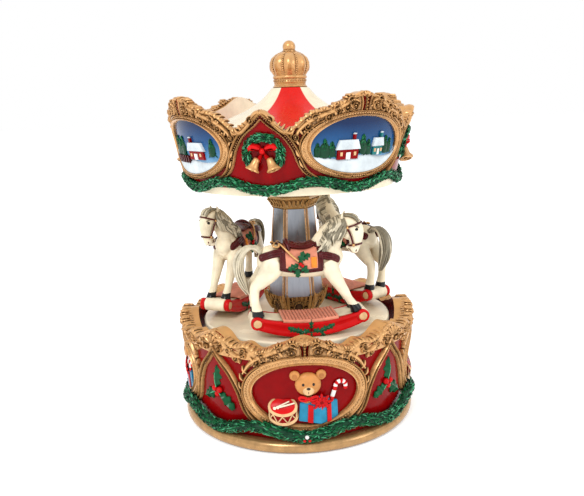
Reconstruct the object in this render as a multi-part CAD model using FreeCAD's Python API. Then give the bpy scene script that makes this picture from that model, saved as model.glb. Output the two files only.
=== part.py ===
import FreeCAD, Part
import math
import os

# A wind-up carousel music box. A leaning base casting holds a spring-driven musical
# movement, which turns a platform with three rocking horses under a carved canopy.
# Lengths are in millimetres, angles in degrees. +Z is up, the front is -Y, and the
# origin is the centre of the foot ring, on the table.

Vector = FreeCAD.Vector
ORIGIN = Vector(0, 0, 0)
UP = Vector(0, 0, 1)
ALONG_X = Vector(1, 0, 0)
ALONG_Y = Vector(0, 1, 0)

# Foot ring and base casting
PLINTH_RADIUS = 67.0
PLINTH_HEIGHT = 6.5
PLINTH_ROUND = 2.4
CASE_BORE = 56.5
WALL_FOOT_RADIUS = 61.5
WALL_LEAN = 0.063
CREST_BORE = 57.0
BASE_CREST_TOP = 62.4
DECK_TOP = 51.5
DECK_THICKNESS = 4.0

# Each crest line lists angles from the middle of an oval panel and the drop below the top
BASE_CREST_LINE = ((0, 0.9), (9, 4.1), (16, 6.4), (21, 7.9), (26.5, 4.9), (32, 6.1), (37, 4.1), (45, 0.0))
CANOPY_CREST_LINE = ((0, 0.0), (9, 4.0), (15, 7.0), (24, 9.4), (33, 17.2), (38, 14.6), (45, 7.6))
PANEL_PAIRS = 4

# Frames, crest carving and garlands
FRAME_RISE = 2.0
FRAME_ANGLE = 4.2
CREST_RISE = 1.4
CREST_SPLIT_ANGLE = 24.0
BASE_OVAL_HALF_ANGLE = 25.7
BASE_OVAL_MIDDLE = 32.0
BASE_OVAL_HALF_HEIGHT = 16.8
BASE_POINT_FOOT_ANGLE = 15.5
BASE_POINT_FOOT = 14.5
BASE_POINT_APEX = 49.3
BASE_CREST_FOOT = 50.0
POINT_WAIST_SHARE = 0.58
POINT_WAIST_HEIGHT_SHARE = 0.66
POINT_FRAME_ANGLE = 2.0
POINT_FRAME_WIDTH = 2.6
GARLAND_SCALLOPS = 8
GARLAND_SIDES = 8
GARLAND_POINTS = 96
BASE_GARLAND_HEIGHT = 12.1
BASE_GARLAND_SWING = 2.3
BASE_GARLAND_RADIUS = 3.6
BASE_GARLAND_STANDOFF = 4.0
CANOPY_GARLAND_RISE = 5.1
CANOPY_GARLAND_SWING = 2.1
CANOPY_GARLAND_RADIUS = 3.0
CANOPY_GARLAND_STANDOFF = 1.4

# Toys in the oval panels. A ball is (radius, angle from the panel's middle, height, share sunk)
BEAR_BALLS = ((7.6, 3.0, 26.0, 0.35), (6.6, 3.0, 37.4, 0.25), (2.5, -2.8, 42.0, 0.1), (2.5, 8.8, 42.0, 0.1),
              (2.6, 3.0, 36.0, -1.4), (3.2, -4.0, 22.6, -0.6), (3.2, 10.0, 22.6, -0.6))
DRUM_RADIUS = 6.6
DRUM_HEIGHT = 10.5
DRUM_ANGLE = -12.0
DRUM_FOOT = 20.5
DRUM_SINK = 2.6
DRUM_LEAN = 0.15
GIFT_WIDTH = 9.6
GIFT_DEPTH = 12.0
GIFT_ANGLE = 14.5
GIFT_FOOT = 20.0
GIFT_TOP = 28.5
GIFT_STANDOFF = 4.2
GIFT_BOW_RADIUS = 2.3
GIFT_BOW_SINK = -0.5
CANE_RADIUS = 1.4
CANE_HEIGHT = 13.5
CANE_ANGLE = 15.0
CANE_LEAN = 0.12
CANE_CROOK_RADIUS = 2.5

# Holly in the pointed panels. A leaf is (angle, height, tilt) and a berry (angle, height)
HOLLY_LEAVES = ((0.8, 37.0, 8.0), (-5.2, 25.0, -118.0), (5.6, 25.0, 118.0))
HOLLY_BERRIES = ((-1.6, 29.4), (1.8, 29.2), (0.0, 26.4))
HOLLY_LENGTH = 11.6
HOLLY_WIDTH = 6.2
HOLLY_RISE = 1.2
BERRY_RADIUS = 1.9
BERRY_SINK = -0.2

# Bottom cover and its fixing
RECESS_HEIGHT = 16.0
COVER_THICKNESS = 2.0
COVER_CLEARANCE = 0.2
SHOULDER_BORE = 50.0
SHOULDER_HEIGHT = 4.0
SCREW_RADIUS = 1.5
SCREW_HEAD_RADIUS = 2.8
SCREW_HEAD_HEIGHT = 1.4
SCREW_BITE = 3.0
COVER_SCREWS = 3

# Musical movement
BED_THICKNESS = 2.0
BED_MARGIN = 1.0
BED_BACK = 20.0
BED_LEFT = 20.0
BED_FRONT = 26.0
BED_SCREW_PLACES = ((-14.0, -14.0), (-14.0, 14.0), (30.0, 16.0))
RUNNING_CLEARANCE = 0.06
ARBOR_RADIUS = 2.0
SPRING_HUB_RADIUS = 3.2
BARREL_RADIUS = 15.0
BARREL_WALL = 1.0
BARREL_HEIGHT = 12.0
BARREL_FLOOR_GAP = 2.0
BARREL_BOSS_RADIUS = 5.0
BARREL_BOSS_HEIGHT = 6.0
ROD_BITE = 5.0
SPRING_THICKNESS = 0.5
SPRING_TURNS = 7
SPRING_POINTS_PER_TURN = 24
SPRING_CLEARANCE = 0.5
RATCHET_RADIUS = 6.0
RATCHET_TEETH = 12
RATCHET_THICKNESS = 1.0
RATCHET_DEPTH = 1.0
RATCHET_BACK_ANGLE = 4.0
RATCHET_GAP = 0.3
CLICK_LENGTH = 12.0
CLICK_WIDTH = 1.4
CROWN_TEETH = 48
CROWN_FACE = 2.5
CROWN_TOOTH_HEIGHT = 1.1
CROWN_TOOTH_WIDTH = 0.5
PINION_TEETH = 8
TOOTH_GAP = 0.15
ADDENDUM_SHARE = 0.85
DEDENDUM_SHARE = 1.25
TIP_SHARE = 0.2
ROOT_SHARE = 0.42
CYLINDER_ARBOR_RADIUS = 1.2
CYLINDER_START = 18.4
CYLINDER_LENGTH = 18.0
CYLINDER_RADIUS = 6.4
PIN_HEIGHT = 0.6
PIN_WIDTH = 0.5
PIN_SINK = 0.3
PINS_PER_ROW = 4
PIN_STEP_ANGLE = 47.0
COMB_TEETH = 18
COMB_TOOTH_SHARE = 0.7
COMB_TOOTH_LENGTH = 9.7
COMB_BODY = 8.0
COMB_THICKNESS = 1.0
COMB_TIP_GAP = 0.3
COMB_SCREW_RADIUS = 1.2
COMB_SCREW_HEAD_RADIUS = 2.0
COMB_SCREW_DEPTH = 6.0
COMB_SCREWS = 2
PEDESTAL_DEPTH = 6.0
GEAR_MODULE = 0.4
GEAR_TEETH = 40
GEAR_WIDTH = 1.6
GEAR_SPACING = 1.0
GOVERNOR_DROP = 3.84
GOVERNOR_ARBOR_RADIUS = 0.8
GOVERNOR_PINION_TEETH = 8
WORM_WHEEL_TEETH = 12
WORM_MODULE = 0.5
WORM_WHEEL_WIDTH = 0.8
WORM_RADIUS = 1.6
WORM_SHAFT_RADIUS = 0.6
WORM_HALF_LENGTH = 3.0
WORM_THREAD_WIDTH = 0.4
WORM_THREAD_DEPTH = 0.55
WORM_MESH_GAP = 0.2
WORM_FACING_SHARE = 0.75
FLY_RADIUS = 4.5
FLY_HEIGHT = 4.0
FLY_THICKNESS = 0.5
FLY_HUB_RADIUS = 1.2
PLATE_THICKNESS = 1.5
PLATE_MARGIN = 4.0

# Winding key under the cover
KEY_HALF_WIDTH = 11.0
KEY_LOBE_RADIUS = 4.5
KEY_HOLE_RADIUS = 2.2
KEY_PLATE = 1.8
KEY_HUB_RADIUS = 3.4
KEY_FLOOR = 2.2
KEY_COVER_GAP = 2.0

# Turntable and mirror column
BUSH_RADIUS = 5.0
BUSH_FLANGE_RADIUS = 7.5
BUSH_FLANGE = 1.0
PLATFORM_RADIUS = 54.0
PLATFORM_THICKNESS = 4.0
PLATFORM_ROUND = 1.2
PLATFORM_GAP = 0.7
HUB_RADIUS = 8.0
HUB_GAP = 0.3
COLUMN_SIDES = 6
COLUMN_TURN = 33.5
COLLAR_FOOT_RADIUS = 13.5
COLLAR_TOP_RADIUS = 17.6
COLLAR_HEIGHT = 12.8
COLLAR_LIP_HEIGHT = 2.4
COLLAR_LIP_FLARE = 0.8
COLUMN_FOOT_RADIUS = 16.3
COLUMN_HEAD_RADIUS = 11.9
COLUMN_HEIGHT = 49.5
COLUMN_SHEATH = 1.5
RIB_WIDTH = 2.0
PANE_THICKNESS = 0.7
CAPITAL_TOP_RADIUS = 14.4
CAPITAL_FLARE_HEIGHT = 5.5
CAPITAL_HEIGHT = 7.5

# Canopy and crown
CANOPY_RIM_RISE = 6.0
CANOPY_RIM_RADIUS = 56.5
CANOPY_LEAN = 0.2
CANOPY_WALL = 5.0
CANOPY_HEIGHT = 49.0
CANOPY_TURN = -15.7
CEILING_THICKNESS = 3.0
CANOPY_OVAL_HALF_ANGLE = 25.0
CANOPY_OVAL_MIDDLE = 23.8
CANOPY_OVAL_HALF_HEIGHT = 13.8
CANOPY_POINT_FOOT_ANGLE = 16.5
CANOPY_POINT_FOOT = 10.0
CANOPY_POINT_APEX = 38.0
CANOPY_CREST_FOOT = 33.0
CANOPY_CREST_SPLIT_ANGLE = 33.0
SCENE_PLATE = 0.8
WREATH_MIDDLE = 19.5
WREATH_RADIUS = 9.2
WREATH_TUBE = 2.0
WREATH_RISE = 2.6
BOW_LOOP_LENGTH = 5.4
BOW_LOOP_HEIGHT = 2.6
BOW_RISE = 2.4
BOW_KNOT_RADIUS = 1.6
BOW_KNOT_SINK = -0.6
BOW_TILT = 100.0
BELL_HEIGHT = 6.4
BELL_MOUTH_RADIUS = 2.9
BELL_TOP_RADIUS = 1.1
BELL_SPREAD = 3.6
ROOF_EDGE_RISE = 28.0
ROOF_TOP_RISE = 52.5
ROOF_TOP_RADIUS = 10.3
ROOF_NECK_RADIUS = 20.0
ROOF_NECK_DROP = 8.9
ROOF_MIDDLE_RADIUS = 36.0
ROOF_MIDDLE_DROP = 16.1
ROOF_THICKNESS = 2.5
CROWN_BAND_RADIUS = 9.2
CROWN_BAND_HEIGHT = 6.5
CROWN_DOME_RADIUS = 10.9
CROWN_DOME_HEIGHT = 12.4
CROWN_BALL_RADIUS = 3.7
CROWN_NECK_RADIUS = 2.6
CROWN_BITE = 3.0

# Rocking horses. A limb is lofted through ovals of a few points. A station is (forward of the
# rocker's middle, above the platform, half width), and the torso's stations add a half depth
SECTION_POINTS = 10
HORSES = 3
HORSE_TURN = 6.3
HORSE_RING_RADIUS = 38.0
ROCKER_HALF_LENGTH = 28.0
ROCKER_HALF_WIDTH = 8.8
RAIL_THICKNESS = 2.6
RAIL_END_LOW = 6.0
RAIL_END_HIGH = 12.3
RAIL_MIDDLE_HIGH = 8.0
KNOB_RADIUS = 3.3
BOARD_END_LOW = 7.0
BOARD_END_HIGH = 11.8
BOARD_MIDDLE_LOW = 2.0
BOARD_MIDDLE_HIGH = 8.6
BOARD_ROLL_RADIUS = 3.6
MAT_HALF_LENGTH = 14.3
MAT_RISE = 1.6
ROCKER_SEAT_GAP = 0.05
LEG_SPREAD = 4.6
LEG_SINK = 0.6
SADDLE_THICKNESS = 1.2
SADDLE_BACK = -13.0
SADDLE_FRONT = 6.0
SADDLE_LOW = 30.5
SADDLE_HIGH = 60.0
TORSO_STATIONS = ((-24.5, 42.0, 3.6, 4.6), (-21.0, 40.2, 6.6, 7.4), (-13.0, 38.8, 7.6, 8.6),
                  (-4.0, 37.8, 7.4, 7.9), (5.0, 38.6, 7.3, 8.6), (12.5, 39.2, 6.0, 7.6),
                  (16.5, 39.4, 3.4, 4.6))
NECK_STATIONS = ((6.0, 40.0, 7.0), (10.0, 48.0, 6.8), (14.5, 55.0, 5.6), (19.0, 58.6, 4.6))
HEAD_STATIONS = ((17.5, 57.0, 4.3), (24.0, 57.6, 4.6), (27.4, 52.5, 4.0), (26.8, 47.5, 3.0),
                 (25.4, 43.4, 2.2))
TAIL_STATIONS = ((-22.5, 44.0, 2.4), (-28.0, 47.6, 2.6), (-33.5, 46.0, 3.4), (-36.0, 40.0, 3.8),
                 (-34.5, 31.0, 3.2), (-32.0, 24.0, 1.2))
HIND_LEG_STATIONS = ((-17.0, 41.0, 5.0), (-22.0, 34.5, 4.6), (-27.0, 28.4, 3.2), (-28.4, 20.0, 2.4),
                     (-27.6, 14.0, 2.4), (-27.0, BOARD_END_HIGH - LEG_SINK, 3.0))
FORE_LEG_STATIONS = ((9.0, 39.0, 4.6), (13.0, 31.0, 4.2), (17.0, 23.6, 3.0), (21.0, 17.6, 2.4),
                     (23.4, 13.6, 2.6), (24.4, BOARD_END_HIGH - LEG_SINK, 3.0))
HEAD_PIVOT = 11.5
HEAD_TURN = 22.0
EAR_PLACE = (20.5, 60.2)
EAR_RADIUS = 1.5
EAR_HEIGHT = 4.5
EAR_SPREAD = 2.4

# Levels and derived radii
COVER_TOP = RECESS_HEIGHT + COVER_THICKNESS
BED_TOP = COVER_TOP + BED_THICKNESS
DECK_FLOOR = DECK_TOP - DECK_THICKNESS
BARREL_FLOOR = BED_TOP + BARREL_FLOOR_GAP
BARREL_TOP = BARREL_FLOOR + BARREL_HEIGHT
BARREL_CEILING = BARREL_TOP - BARREL_WALL
BARREL_BORE = BARREL_RADIUS - BARREL_WALL
ROD_FOOT = BARREL_TOP + BARREL_BOSS_HEIGHT - ROD_BITE
PLATFORM_FLOOR = DECK_TOP + PLATFORM_GAP
PLATFORM_TOP = PLATFORM_FLOOR + PLATFORM_THICKNESS
COLLAR_TOP = PLATFORM_TOP + COLLAR_HEIGHT
COLUMN_TOP = COLLAR_TOP + COLUMN_HEIGHT
CAPITAL_TOP = COLUMN_TOP + CAPITAL_HEIGHT
CANOPY_RIM = CAPITAL_TOP + CANOPY_RIM_RISE
CANOPY_CREST_TOP = CANOPY_RIM + CANOPY_HEIGHT
ROOF_TOP = CANOPY_RIM + ROOF_TOP_RISE
ROOF_EDGE = CANOPY_RIM + ROOF_EDGE_RISE
ROD_TOP = ROOF_TOP + CROWN_BITE
PANEL_STEP = 360.0 / PANEL_PAIRS
HALF_PANEL_STEP = PANEL_STEP / 2
BED_RADIUS = SHOULDER_BORE - BED_MARGIN
COVER_SCREW_RADIUS = (SHOULDER_BORE + CASE_BORE) / 2
REACH = 2 * PLINTH_RADIUS

# Pitch sizes of the gear train, from the crown teeth on the barrel to the worm
CROWN_PITCH_RADIUS = BARREL_RADIUS - CROWN_FACE / 2
CROWN_MODULE = 2 * CROWN_PITCH_RADIUS / CROWN_TEETH
PINION_RADIUS = CROWN_MODULE * PINION_TEETH / 2
PINION_TIP = PINION_RADIUS + CROWN_MODULE * ADDENDUM_SHARE
CYLINDER_AXIS = BARREL_TOP + TOOTH_GAP + PINION_TIP
CYLINDER_END = CYLINDER_START + CYLINDER_LENGTH
PIN_TIP_RADIUS = CYLINDER_RADIUS + PIN_HEIGHT
COMB_TIP = -PIN_TIP_RADIUS - COMB_TIP_GAP
COMB_ROOT = COMB_TIP - COMB_TOOTH_LENGTH
COMB_BACK = COMB_ROOT - COMB_BODY
COMB_FLOOR = CYLINDER_AXIS - COMB_THICKNESS / 2
GEAR_START = CYLINDER_END + GEAR_SPACING
GEAR_RADIUS = GEAR_MODULE * GEAR_TEETH / 2
GOVERNOR_PINION_RADIUS = GEAR_MODULE * GOVERNOR_PINION_TEETH / 2
GOVERNOR_REACH = GEAR_RADIUS + GOVERNOR_PINION_RADIUS
GOVERNOR_SIDE = math.sqrt(GOVERNOR_REACH ** 2 - GOVERNOR_DROP ** 2)
GOVERNOR_AXIS = CYLINDER_AXIS - GOVERNOR_DROP
GOVERNOR_ANGLE = math.degrees(math.atan2(-GOVERNOR_DROP, GOVERNOR_SIDE))
WORM_WHEEL_RADIUS = WORM_MODULE * WORM_WHEEL_TEETH / 2
WORM_WHEEL_START = GEAR_START + GEAR_WIDTH + GEAR_SPACING
WORM_LEAD = math.pi * WORM_MODULE
WORM_SIDE = GOVERNOR_SIDE + WORM_WHEEL_RADIUS + WORM_RADIUS + WORM_MESH_GAP
WORM_PLACE = WORM_WHEEL_START + WORM_WHEEL_WIDTH / 2
FRAME_PLATE = WORM_PLACE + PLATE_THICKNESS + GEAR_SPACING
ARM_TOP = DECK_FLOOR - BUSH_FLANGE - GEAR_SPACING / 2
ARM_FLOOR = ARM_TOP - PLATE_THICKNESS
FLY_TOP = ARM_FLOOR - GEAR_SPACING
FLY_FLOOR = FLY_TOP - FLY_HEIGHT


def polar(radius, angle, height):
    """A point at an angle from the front, counted towards +X."""
    turn = math.radians(angle)
    return Vector(radius * math.sin(turn), -radius * math.cos(turn), height)


def turned(shape, angle):
    """A copy of the shape turned about the upright axis."""
    copy = shape.copy()
    copy.rotate(ORIGIN, UP, angle)
    return copy


def around(shape, count, start=0.0):
    """Copies of the shape spread evenly about the upright axis."""
    return [turned(shape, start + 360.0 * index / count) for index in range(count)]


def moved(shape, offset):
    copy = shape.copy()
    copy.translate(offset)
    return copy


def upright_cylinder(radius, low, high, x=0.0, y=0.0):
    return Part.makeCylinder(radius, high - low, Vector(x, y, low), UP)


def cylinder_along_x(radius, start, end, y, z):
    return Part.makeCylinder(radius, end - start, Vector(start, y, z), ALONG_X)


def block(low, high):
    size = [high[axis] - low[axis] for axis in range(3)]
    return Part.makeBox(size[0], size[1], size[2], Vector(low[0], low[1], low[2]))


def revolved_edges(edges):
    """A solid of revolution from the edges of a closed section in the XZ plane."""
    face = Part.Face(Part.Wire(Part.__sortEdges__(edges)))
    return face.revolve(ORIGIN, UP, 360)


def revolved(section):
    """A solid of revolution from the corners (radius, height) of its section."""
    corners = [Vector(radius, 0, height) for radius, height in section]
    face = Part.Face(Part.makePolygon(corners + corners[:1]))
    return face.revolve(ORIGIN, UP, 360)


def line(start, end):
    return Part.makeLine(start, end)


def arc(start, middle, end):
    return Part.Arc(start, middle, end).toShape()


def open_curve(points):
    curve = Part.BSplineCurve()
    curve.interpolate(Points=points)
    return curve.toShape()


def closed_curve(points):
    curve = Part.BSplineCurve()
    curve.interpolate(Points=points, PeriodicFlag=True)
    return curve.toShape()


def prism(points, direction):
    """A solid swept from a closed polygon."""
    return Part.Face(Part.makePolygon(points + points[:1])).extrude(direction)


def ring_of_sections(angles, section_at):
    """A closed ring whose section, a list of (radius, height), changes with the angle."""
    sections = [section_at(angle) for angle in angles]
    rails = []
    for corner in range(len(sections[0])):
        points = [polar(section[corner][0], angle, section[corner][1])
                  for angle, section in zip(angles, sections)]
        rails.append(closed_curve(points))
    faces = [Part.makeRuledSurface(rail, rails[(index + 1) % len(rails)])
             for index, rail in enumerate(rails)]
    shell = Part.makeShell(faces)
    shell.sewShape()
    solid = Part.makeSolid(shell)
    if solid.Volume < 0:
        solid.reverse()
    return solid


def base_wall_radius(height):
    return WALL_FOOT_RADIUS + WALL_LEAN * (height - PLINTH_HEIGHT)


def canopy_wall_radius(height):
    return CANOPY_RIM_RADIUS + CANOPY_LEAN * (height - CANOPY_RIM)


def wall_skin(radius_at, low, high, rise):
    """A conical skin of even rise that lies on the outside of a wall."""
    return revolved(((radius_at(low), low), (radius_at(low) + rise, low),
                     (radius_at(high) + rise, high), (radius_at(high), high)))


def wall_core(radius_at, low, high):
    """Everything inside a wall's outer face, to trim reliefs that sit on it."""
    return revolved(((0, low), (radius_at(low), low), (radius_at(high), high), (0, high)))


def crest_cutter(crest_line, top, turn):
    """The space above a wavy crest, repeated for every pair of panels."""
    mirrored = [(-angle, drop) for angle, drop in reversed(crest_line[1:-1])]
    drops = {}
    for pair in range(PANEL_PAIRS):
        for angle, drop in mirrored + list(crest_line):
            drops[pair * PANEL_STEP + angle + turn] = drop
    angles = sorted(drops)

    def section(angle):
        height = top - drops[angle]
        return [(PLATFORM_RADIUS / 2, height), (REACH, height),
                (REACH, top + REACH), (PLATFORM_RADIUS / 2, top + REACH)]

    return ring_of_sections(angles, section)


def oval_prism(radius, half_angle, middle, half_height):
    """An oval outline at the front, swept outwards."""
    centre = Vector(0, 0, middle)
    ends = [centre + ALONG_X * radius * math.sin(math.radians(half_angle)), centre + UP * half_height]
    ends.sort(key=lambda end: -end.distanceToPoint(centre))
    face = Part.Face(Part.Wire([Part.Ellipse(ends[0], ends[1], centre).toShape()]))
    return face.extrude(Vector(0, -REACH, 0))


def pointed_prism(radius, foot_angle, foot, apex):
    """A pointed arch outline at the front, swept outwards."""
    waist = foot + POINT_WAIST_HEIGHT_SHARE * (apex - foot)
    waist_angle = POINT_WAIST_SHARE * foot_angle

    def point(angle, height):
        return Vector(radius * math.sin(math.radians(angle)), 0, height)

    right = open_curve([point(foot_angle, foot), point(waist_angle, waist), point(0, apex)])
    left = open_curve([point(0, apex), point(-waist_angle, waist), point(-foot_angle, foot)])
    sill = line(point(-foot_angle, foot), point(foot_angle, foot))
    face = Part.Face(Part.Wire([right, left, sill]))
    return face.extrude(Vector(0, -REACH, 0))


def garland(radius, height, swing, tube):
    """A hanging garland that dips at the middle of every panel."""
    angles = [360.0 * index / GARLAND_POINTS for index in range(GARLAND_POINTS)]

    def section(angle):
        middle = height - swing * math.cos(math.radians(GARLAND_SCALLOPS * angle))
        corners = []
        for side in range(GARLAND_SIDES):
            phase = 2 * math.pi * (side + 0.5) / GARLAND_SIDES
            corners.append((radius + tube * math.cos(phase), middle + tube * math.sin(phase)))
        return corners

    return ring_of_sections(angles, section)


def gear_wheel(teeth, module, width, phase):
    """A spur wheel about the X axis, with one tooth at the phase angle from +Y to +Z."""
    pitch_radius = module * teeth / 2
    tip = pitch_radius + module * ADDENDUM_SHARE
    root = pitch_radius - module * DEDENDUM_SHARE
    step = 360.0 / teeth
    flank = ((root, -ROOT_SHARE), (tip, -TIP_SHARE), (tip, TIP_SHARE), (root, ROOT_SHARE))
    points = []
    for tooth in range(teeth):
        middle = phase + tooth * step
        for radius, offset in flank:
            angle = math.radians(middle + offset * step / 2)
            points.append(Vector(0, radius * math.cos(angle), radius * math.sin(angle)))
    return prism(points, Vector(width, 0, 0))


def screw(radius, head_radius, head_low, head_high, shank_end, x, y):
    """A plain screw whose shank leaves the head upwards or downwards."""
    head = upright_cylinder(head_radius, head_low, head_high, x, y)
    shank = upright_cylinder(radius, min(head_low, shank_end), max(head_high, shank_end), x, y)
    return head.fuse(shank).removeSplitter()


# Base casting and foot


def make_plinth():
    edge = PLINTH_RADIUS - PLINTH_ROUND
    corners = [Vector(CASE_BORE, 0, 0), Vector(edge, 0, 0), Vector(edge, 0, PLINTH_HEIGHT),
               Vector(CASE_BORE, 0, PLINTH_HEIGHT)]
    bulge = arc(corners[1], Vector(PLINTH_RADIUS, 0, PLINTH_HEIGHT / 2), corners[2])
    return revolved_edges([line(corners[0], corners[1]), bulge, line(corners[2], corners[3]),
                           line(corners[3], corners[0])])


def cover_screw_places():
    return [polar(COVER_SCREW_RADIUS, 360.0 * index / COVER_SCREWS, 0) for index in range(COVER_SCREWS)]


def make_base_shell(cutter):
    rim = BASE_CREST_TOP + FRAME_RISE
    shell = revolved(((base_wall_radius(PLINTH_HEIGHT), PLINTH_HEIGHT), (base_wall_radius(rim), rim),
                      (CREST_BORE, rim), (CREST_BORE, DECK_TOP), (BUSH_RADIUS, DECK_TOP),
                      (BUSH_RADIUS, DECK_FLOOR), (CASE_BORE, DECK_FLOOR), (CASE_BORE, PLINTH_HEIGHT)))
    return shell.cut(cutter)


def make_cover_ledge():
    """The ring inside the casting that the bottom cover is screwed to."""
    top = COVER_TOP + SHOULDER_HEIGHT
    ring = revolved(((SHOULDER_BORE, COVER_TOP), (CASE_BORE, COVER_TOP),
                     (CASE_BORE, top), (SHOULDER_BORE, top)))
    holes = [upright_cylinder(SCREW_RADIUS, COVER_TOP, COVER_TOP + SCREW_BITE, place.x, place.y)
             for place in cover_screw_places()]
    return ring.cut(holes)


def make_base_garland(plinth):
    radius = base_wall_radius(BASE_GARLAND_HEIGHT) + BASE_GARLAND_STANDOFF
    ring = garland(radius, BASE_GARLAND_HEIGHT, BASE_GARLAND_SWING, BASE_GARLAND_RADIUS)
    return ring.cut([base_core(), plinth])


def base_oval(grow_angle, grow_height):
    return oval_prism(base_wall_radius(BASE_OVAL_MIDDLE), BASE_OVAL_HALF_ANGLE + grow_angle,
                      BASE_OVAL_MIDDLE, BASE_OVAL_HALF_HEIGHT + grow_height)


def base_point(grow_angle, grow_height):
    return pointed_prism(base_wall_radius(BASE_POINT_FOOT), BASE_POINT_FOOT_ANGLE + grow_angle,
                         BASE_POINT_FOOT - grow_height, BASE_POINT_APEX + grow_height)


def frame_width():
    return math.radians(FRAME_ANGLE) * base_wall_radius(BASE_OVAL_MIDDLE)


def front_oval_frame(green):
    ring = base_oval(FRAME_ANGLE, frame_width()).cut(base_oval(0.0, 0.0))
    skin = wall_skin(base_wall_radius, PLINTH_HEIGHT, BASE_CREST_TOP, FRAME_RISE)
    return ring.common(skin).cut(green)


def make_base_point_frames(green):
    ring = base_point(POINT_FRAME_ANGLE, POINT_FRAME_WIDTH).cut(base_point(0.0, 0.0))
    skin = wall_skin(base_wall_radius, PLINTH_HEIGHT, BASE_CREST_TOP, FRAME_RISE)
    frame = turned(ring.common(skin), HALF_PANEL_STEP).cut(green)
    return Part.makeCompound(around(frame, PANEL_PAIRS))


def sector(half_angle, middle):
    """A wedge about the upright axis, from half an angle before to half an angle after its middle."""
    corners = [ORIGIN, polar(REACH, middle - half_angle, 0), polar(REACH, middle + half_angle, 0)]
    return prism(corners, Vector(0, 0, 2 * REACH))


def make_base_crest(cutter):
    """Carving along the crest, in one piece over each oval and each pointed panel."""
    band = wall_skin(base_wall_radius, BASE_CREST_FOOT, BASE_CREST_TOP + FRAME_RISE, CREST_RISE).cut(cutter)
    over_oval = band.common(sector(CREST_SPLIT_ANGLE, 0.0))
    over_oval = over_oval.cut(base_oval(FRAME_ANGLE, frame_width()))
    over_point = band.common(sector(HALF_PANEL_STEP - CREST_SPLIT_ANGLE, HALF_PANEL_STEP))
    outlines = [base_oval(FRAME_ANGLE, frame_width()), base_point(POINT_FRAME_ANGLE, POINT_FRAME_WIDTH)]
    turns = (0.0, HALF_PANEL_STEP)
    over_point = over_point.cut([turned(outline, turn) for outline, turn in zip(outlines, turns)])
    over_point = over_point.cut(turned(outlines[0], PANEL_STEP))
    return Part.makeCompound(around(over_oval, PANEL_PAIRS) + around(over_point, PANEL_PAIRS))


def ball(radius, angle, height, sink, radius_at):
    """A ball that stands out of a wall, sunk by a share of its radius."""
    outward = polar(1.0, angle, 0)
    return Part.makeSphere(radius, polar(radius_at(height) - sink * radius, angle, height), outward)


def base_core():
    return wall_core(base_wall_radius, PLINTH_HEIGHT, BASE_CREST_TOP)


def trimmed(pieces, core):
    """Pieces cut back to a wall's outer face and joined to one relief."""
    seated = [piece.cut(core) for piece in pieces]
    return seated[0].fuse(seated[1:])


def make_base_toys(frame):
    """A bear, a drum, a gift and a cane in each oval panel, inside its frame."""
    wall = base_wall_radius
    pieces = [ball(radius, angle, height, sink, wall) for radius, angle, height, sink in BEAR_BALLS]
    drum_foot = polar(wall(DRUM_FOOT) - DRUM_SINK, DRUM_ANGLE, DRUM_FOOT)
    pieces.append(Part.makeCylinder(DRUM_RADIUS, DRUM_HEIGHT, drum_foot, UP + polar(DRUM_LEAN, 0, 0)))
    gift_face = -wall(GIFT_FOOT) - GIFT_STANDOFF
    gift = block((-GIFT_WIDTH / 2, gift_face, GIFT_FOOT),
                 (GIFT_WIDTH / 2, gift_face + GIFT_DEPTH, GIFT_TOP))
    pieces.append(turned(gift, GIFT_ANGLE))
    pieces.append(ball(GIFT_BOW_RADIUS, GIFT_ANGLE, GIFT_TOP + GIFT_BOW_RADIUS / 2, GIFT_BOW_SINK, wall))
    pieces.append(Part.makeCylinder(CANE_RADIUS, CANE_HEIGHT, polar(wall(GIFT_TOP), CANE_ANGLE, GIFT_TOP),
                                    UP + ALONG_X * CANE_LEAN))
    pieces.append(ball(CANE_CROOK_RADIUS, CANE_ANGLE, GIFT_TOP + CANE_HEIGHT, 0.0, wall))
    relief = trimmed(pieces, base_core()).cut(frame)
    return Part.makeCompound(around(relief, PANEL_PAIRS))


def leaf_prism(radius, angle, height, length, width, tilt):
    """A leaf of two arcs on the front wall, swept outwards."""
    lean = math.radians(tilt)
    middle = Vector(radius * math.sin(math.radians(angle)), 0, height)
    along = Vector(math.sin(lean), 0, math.cos(lean)) * (length / 2)
    across = Vector(math.cos(lean), 0, -math.sin(lean)) * (width / 2)
    edges = [arc(middle - along, middle + across, middle + along),
             arc(middle + along, middle - across, middle - along)]
    return Part.Face(Part.Wire(edges)).extrude(Vector(0, -REACH, 0))


def make_base_holly():
    """Holly leaves and berries in each pointed panel."""
    wall = base_wall_radius
    skin = wall_skin(wall, PLINTH_HEIGHT, BASE_CREST_TOP, HOLLY_RISE)
    leaves = [leaf_prism(wall(height), angle, height, HOLLY_LENGTH, HOLLY_WIDTH, tilt).common(skin)
              for angle, height, tilt in HOLLY_LEAVES]
    berries = [ball(BERRY_RADIUS, angle, height, BERRY_SINK, wall) for angle, height in HOLLY_BERRIES]
    sprig = leaves[0].fuse(leaves[1:] + [berry.cut(base_core()) for berry in berries])
    return Part.makeCompound(around(sprig, PANEL_PAIRS, HALF_PANEL_STEP))


# Bottom cover, movement and winding key


def make_bottom_cover():
    disc = upright_cylinder(CASE_BORE - COVER_CLEARANCE, RECESS_HEIGHT, COVER_TOP)
    holes = [upright_cylinder(SCREW_RADIUS, RECESS_HEIGHT, COVER_TOP, place.x, place.y)
             for place in cover_screw_places()]
    holes += [upright_cylinder(SCREW_RADIUS, RECESS_HEIGHT, COVER_TOP, x, y) for x, y in BED_SCREW_PLACES]
    arbor_hole = upright_cylinder(KEY_HUB_RADIUS, RECESS_HEIGHT, COVER_TOP)
    return disc.cut(holes + [arbor_hole])


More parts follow.
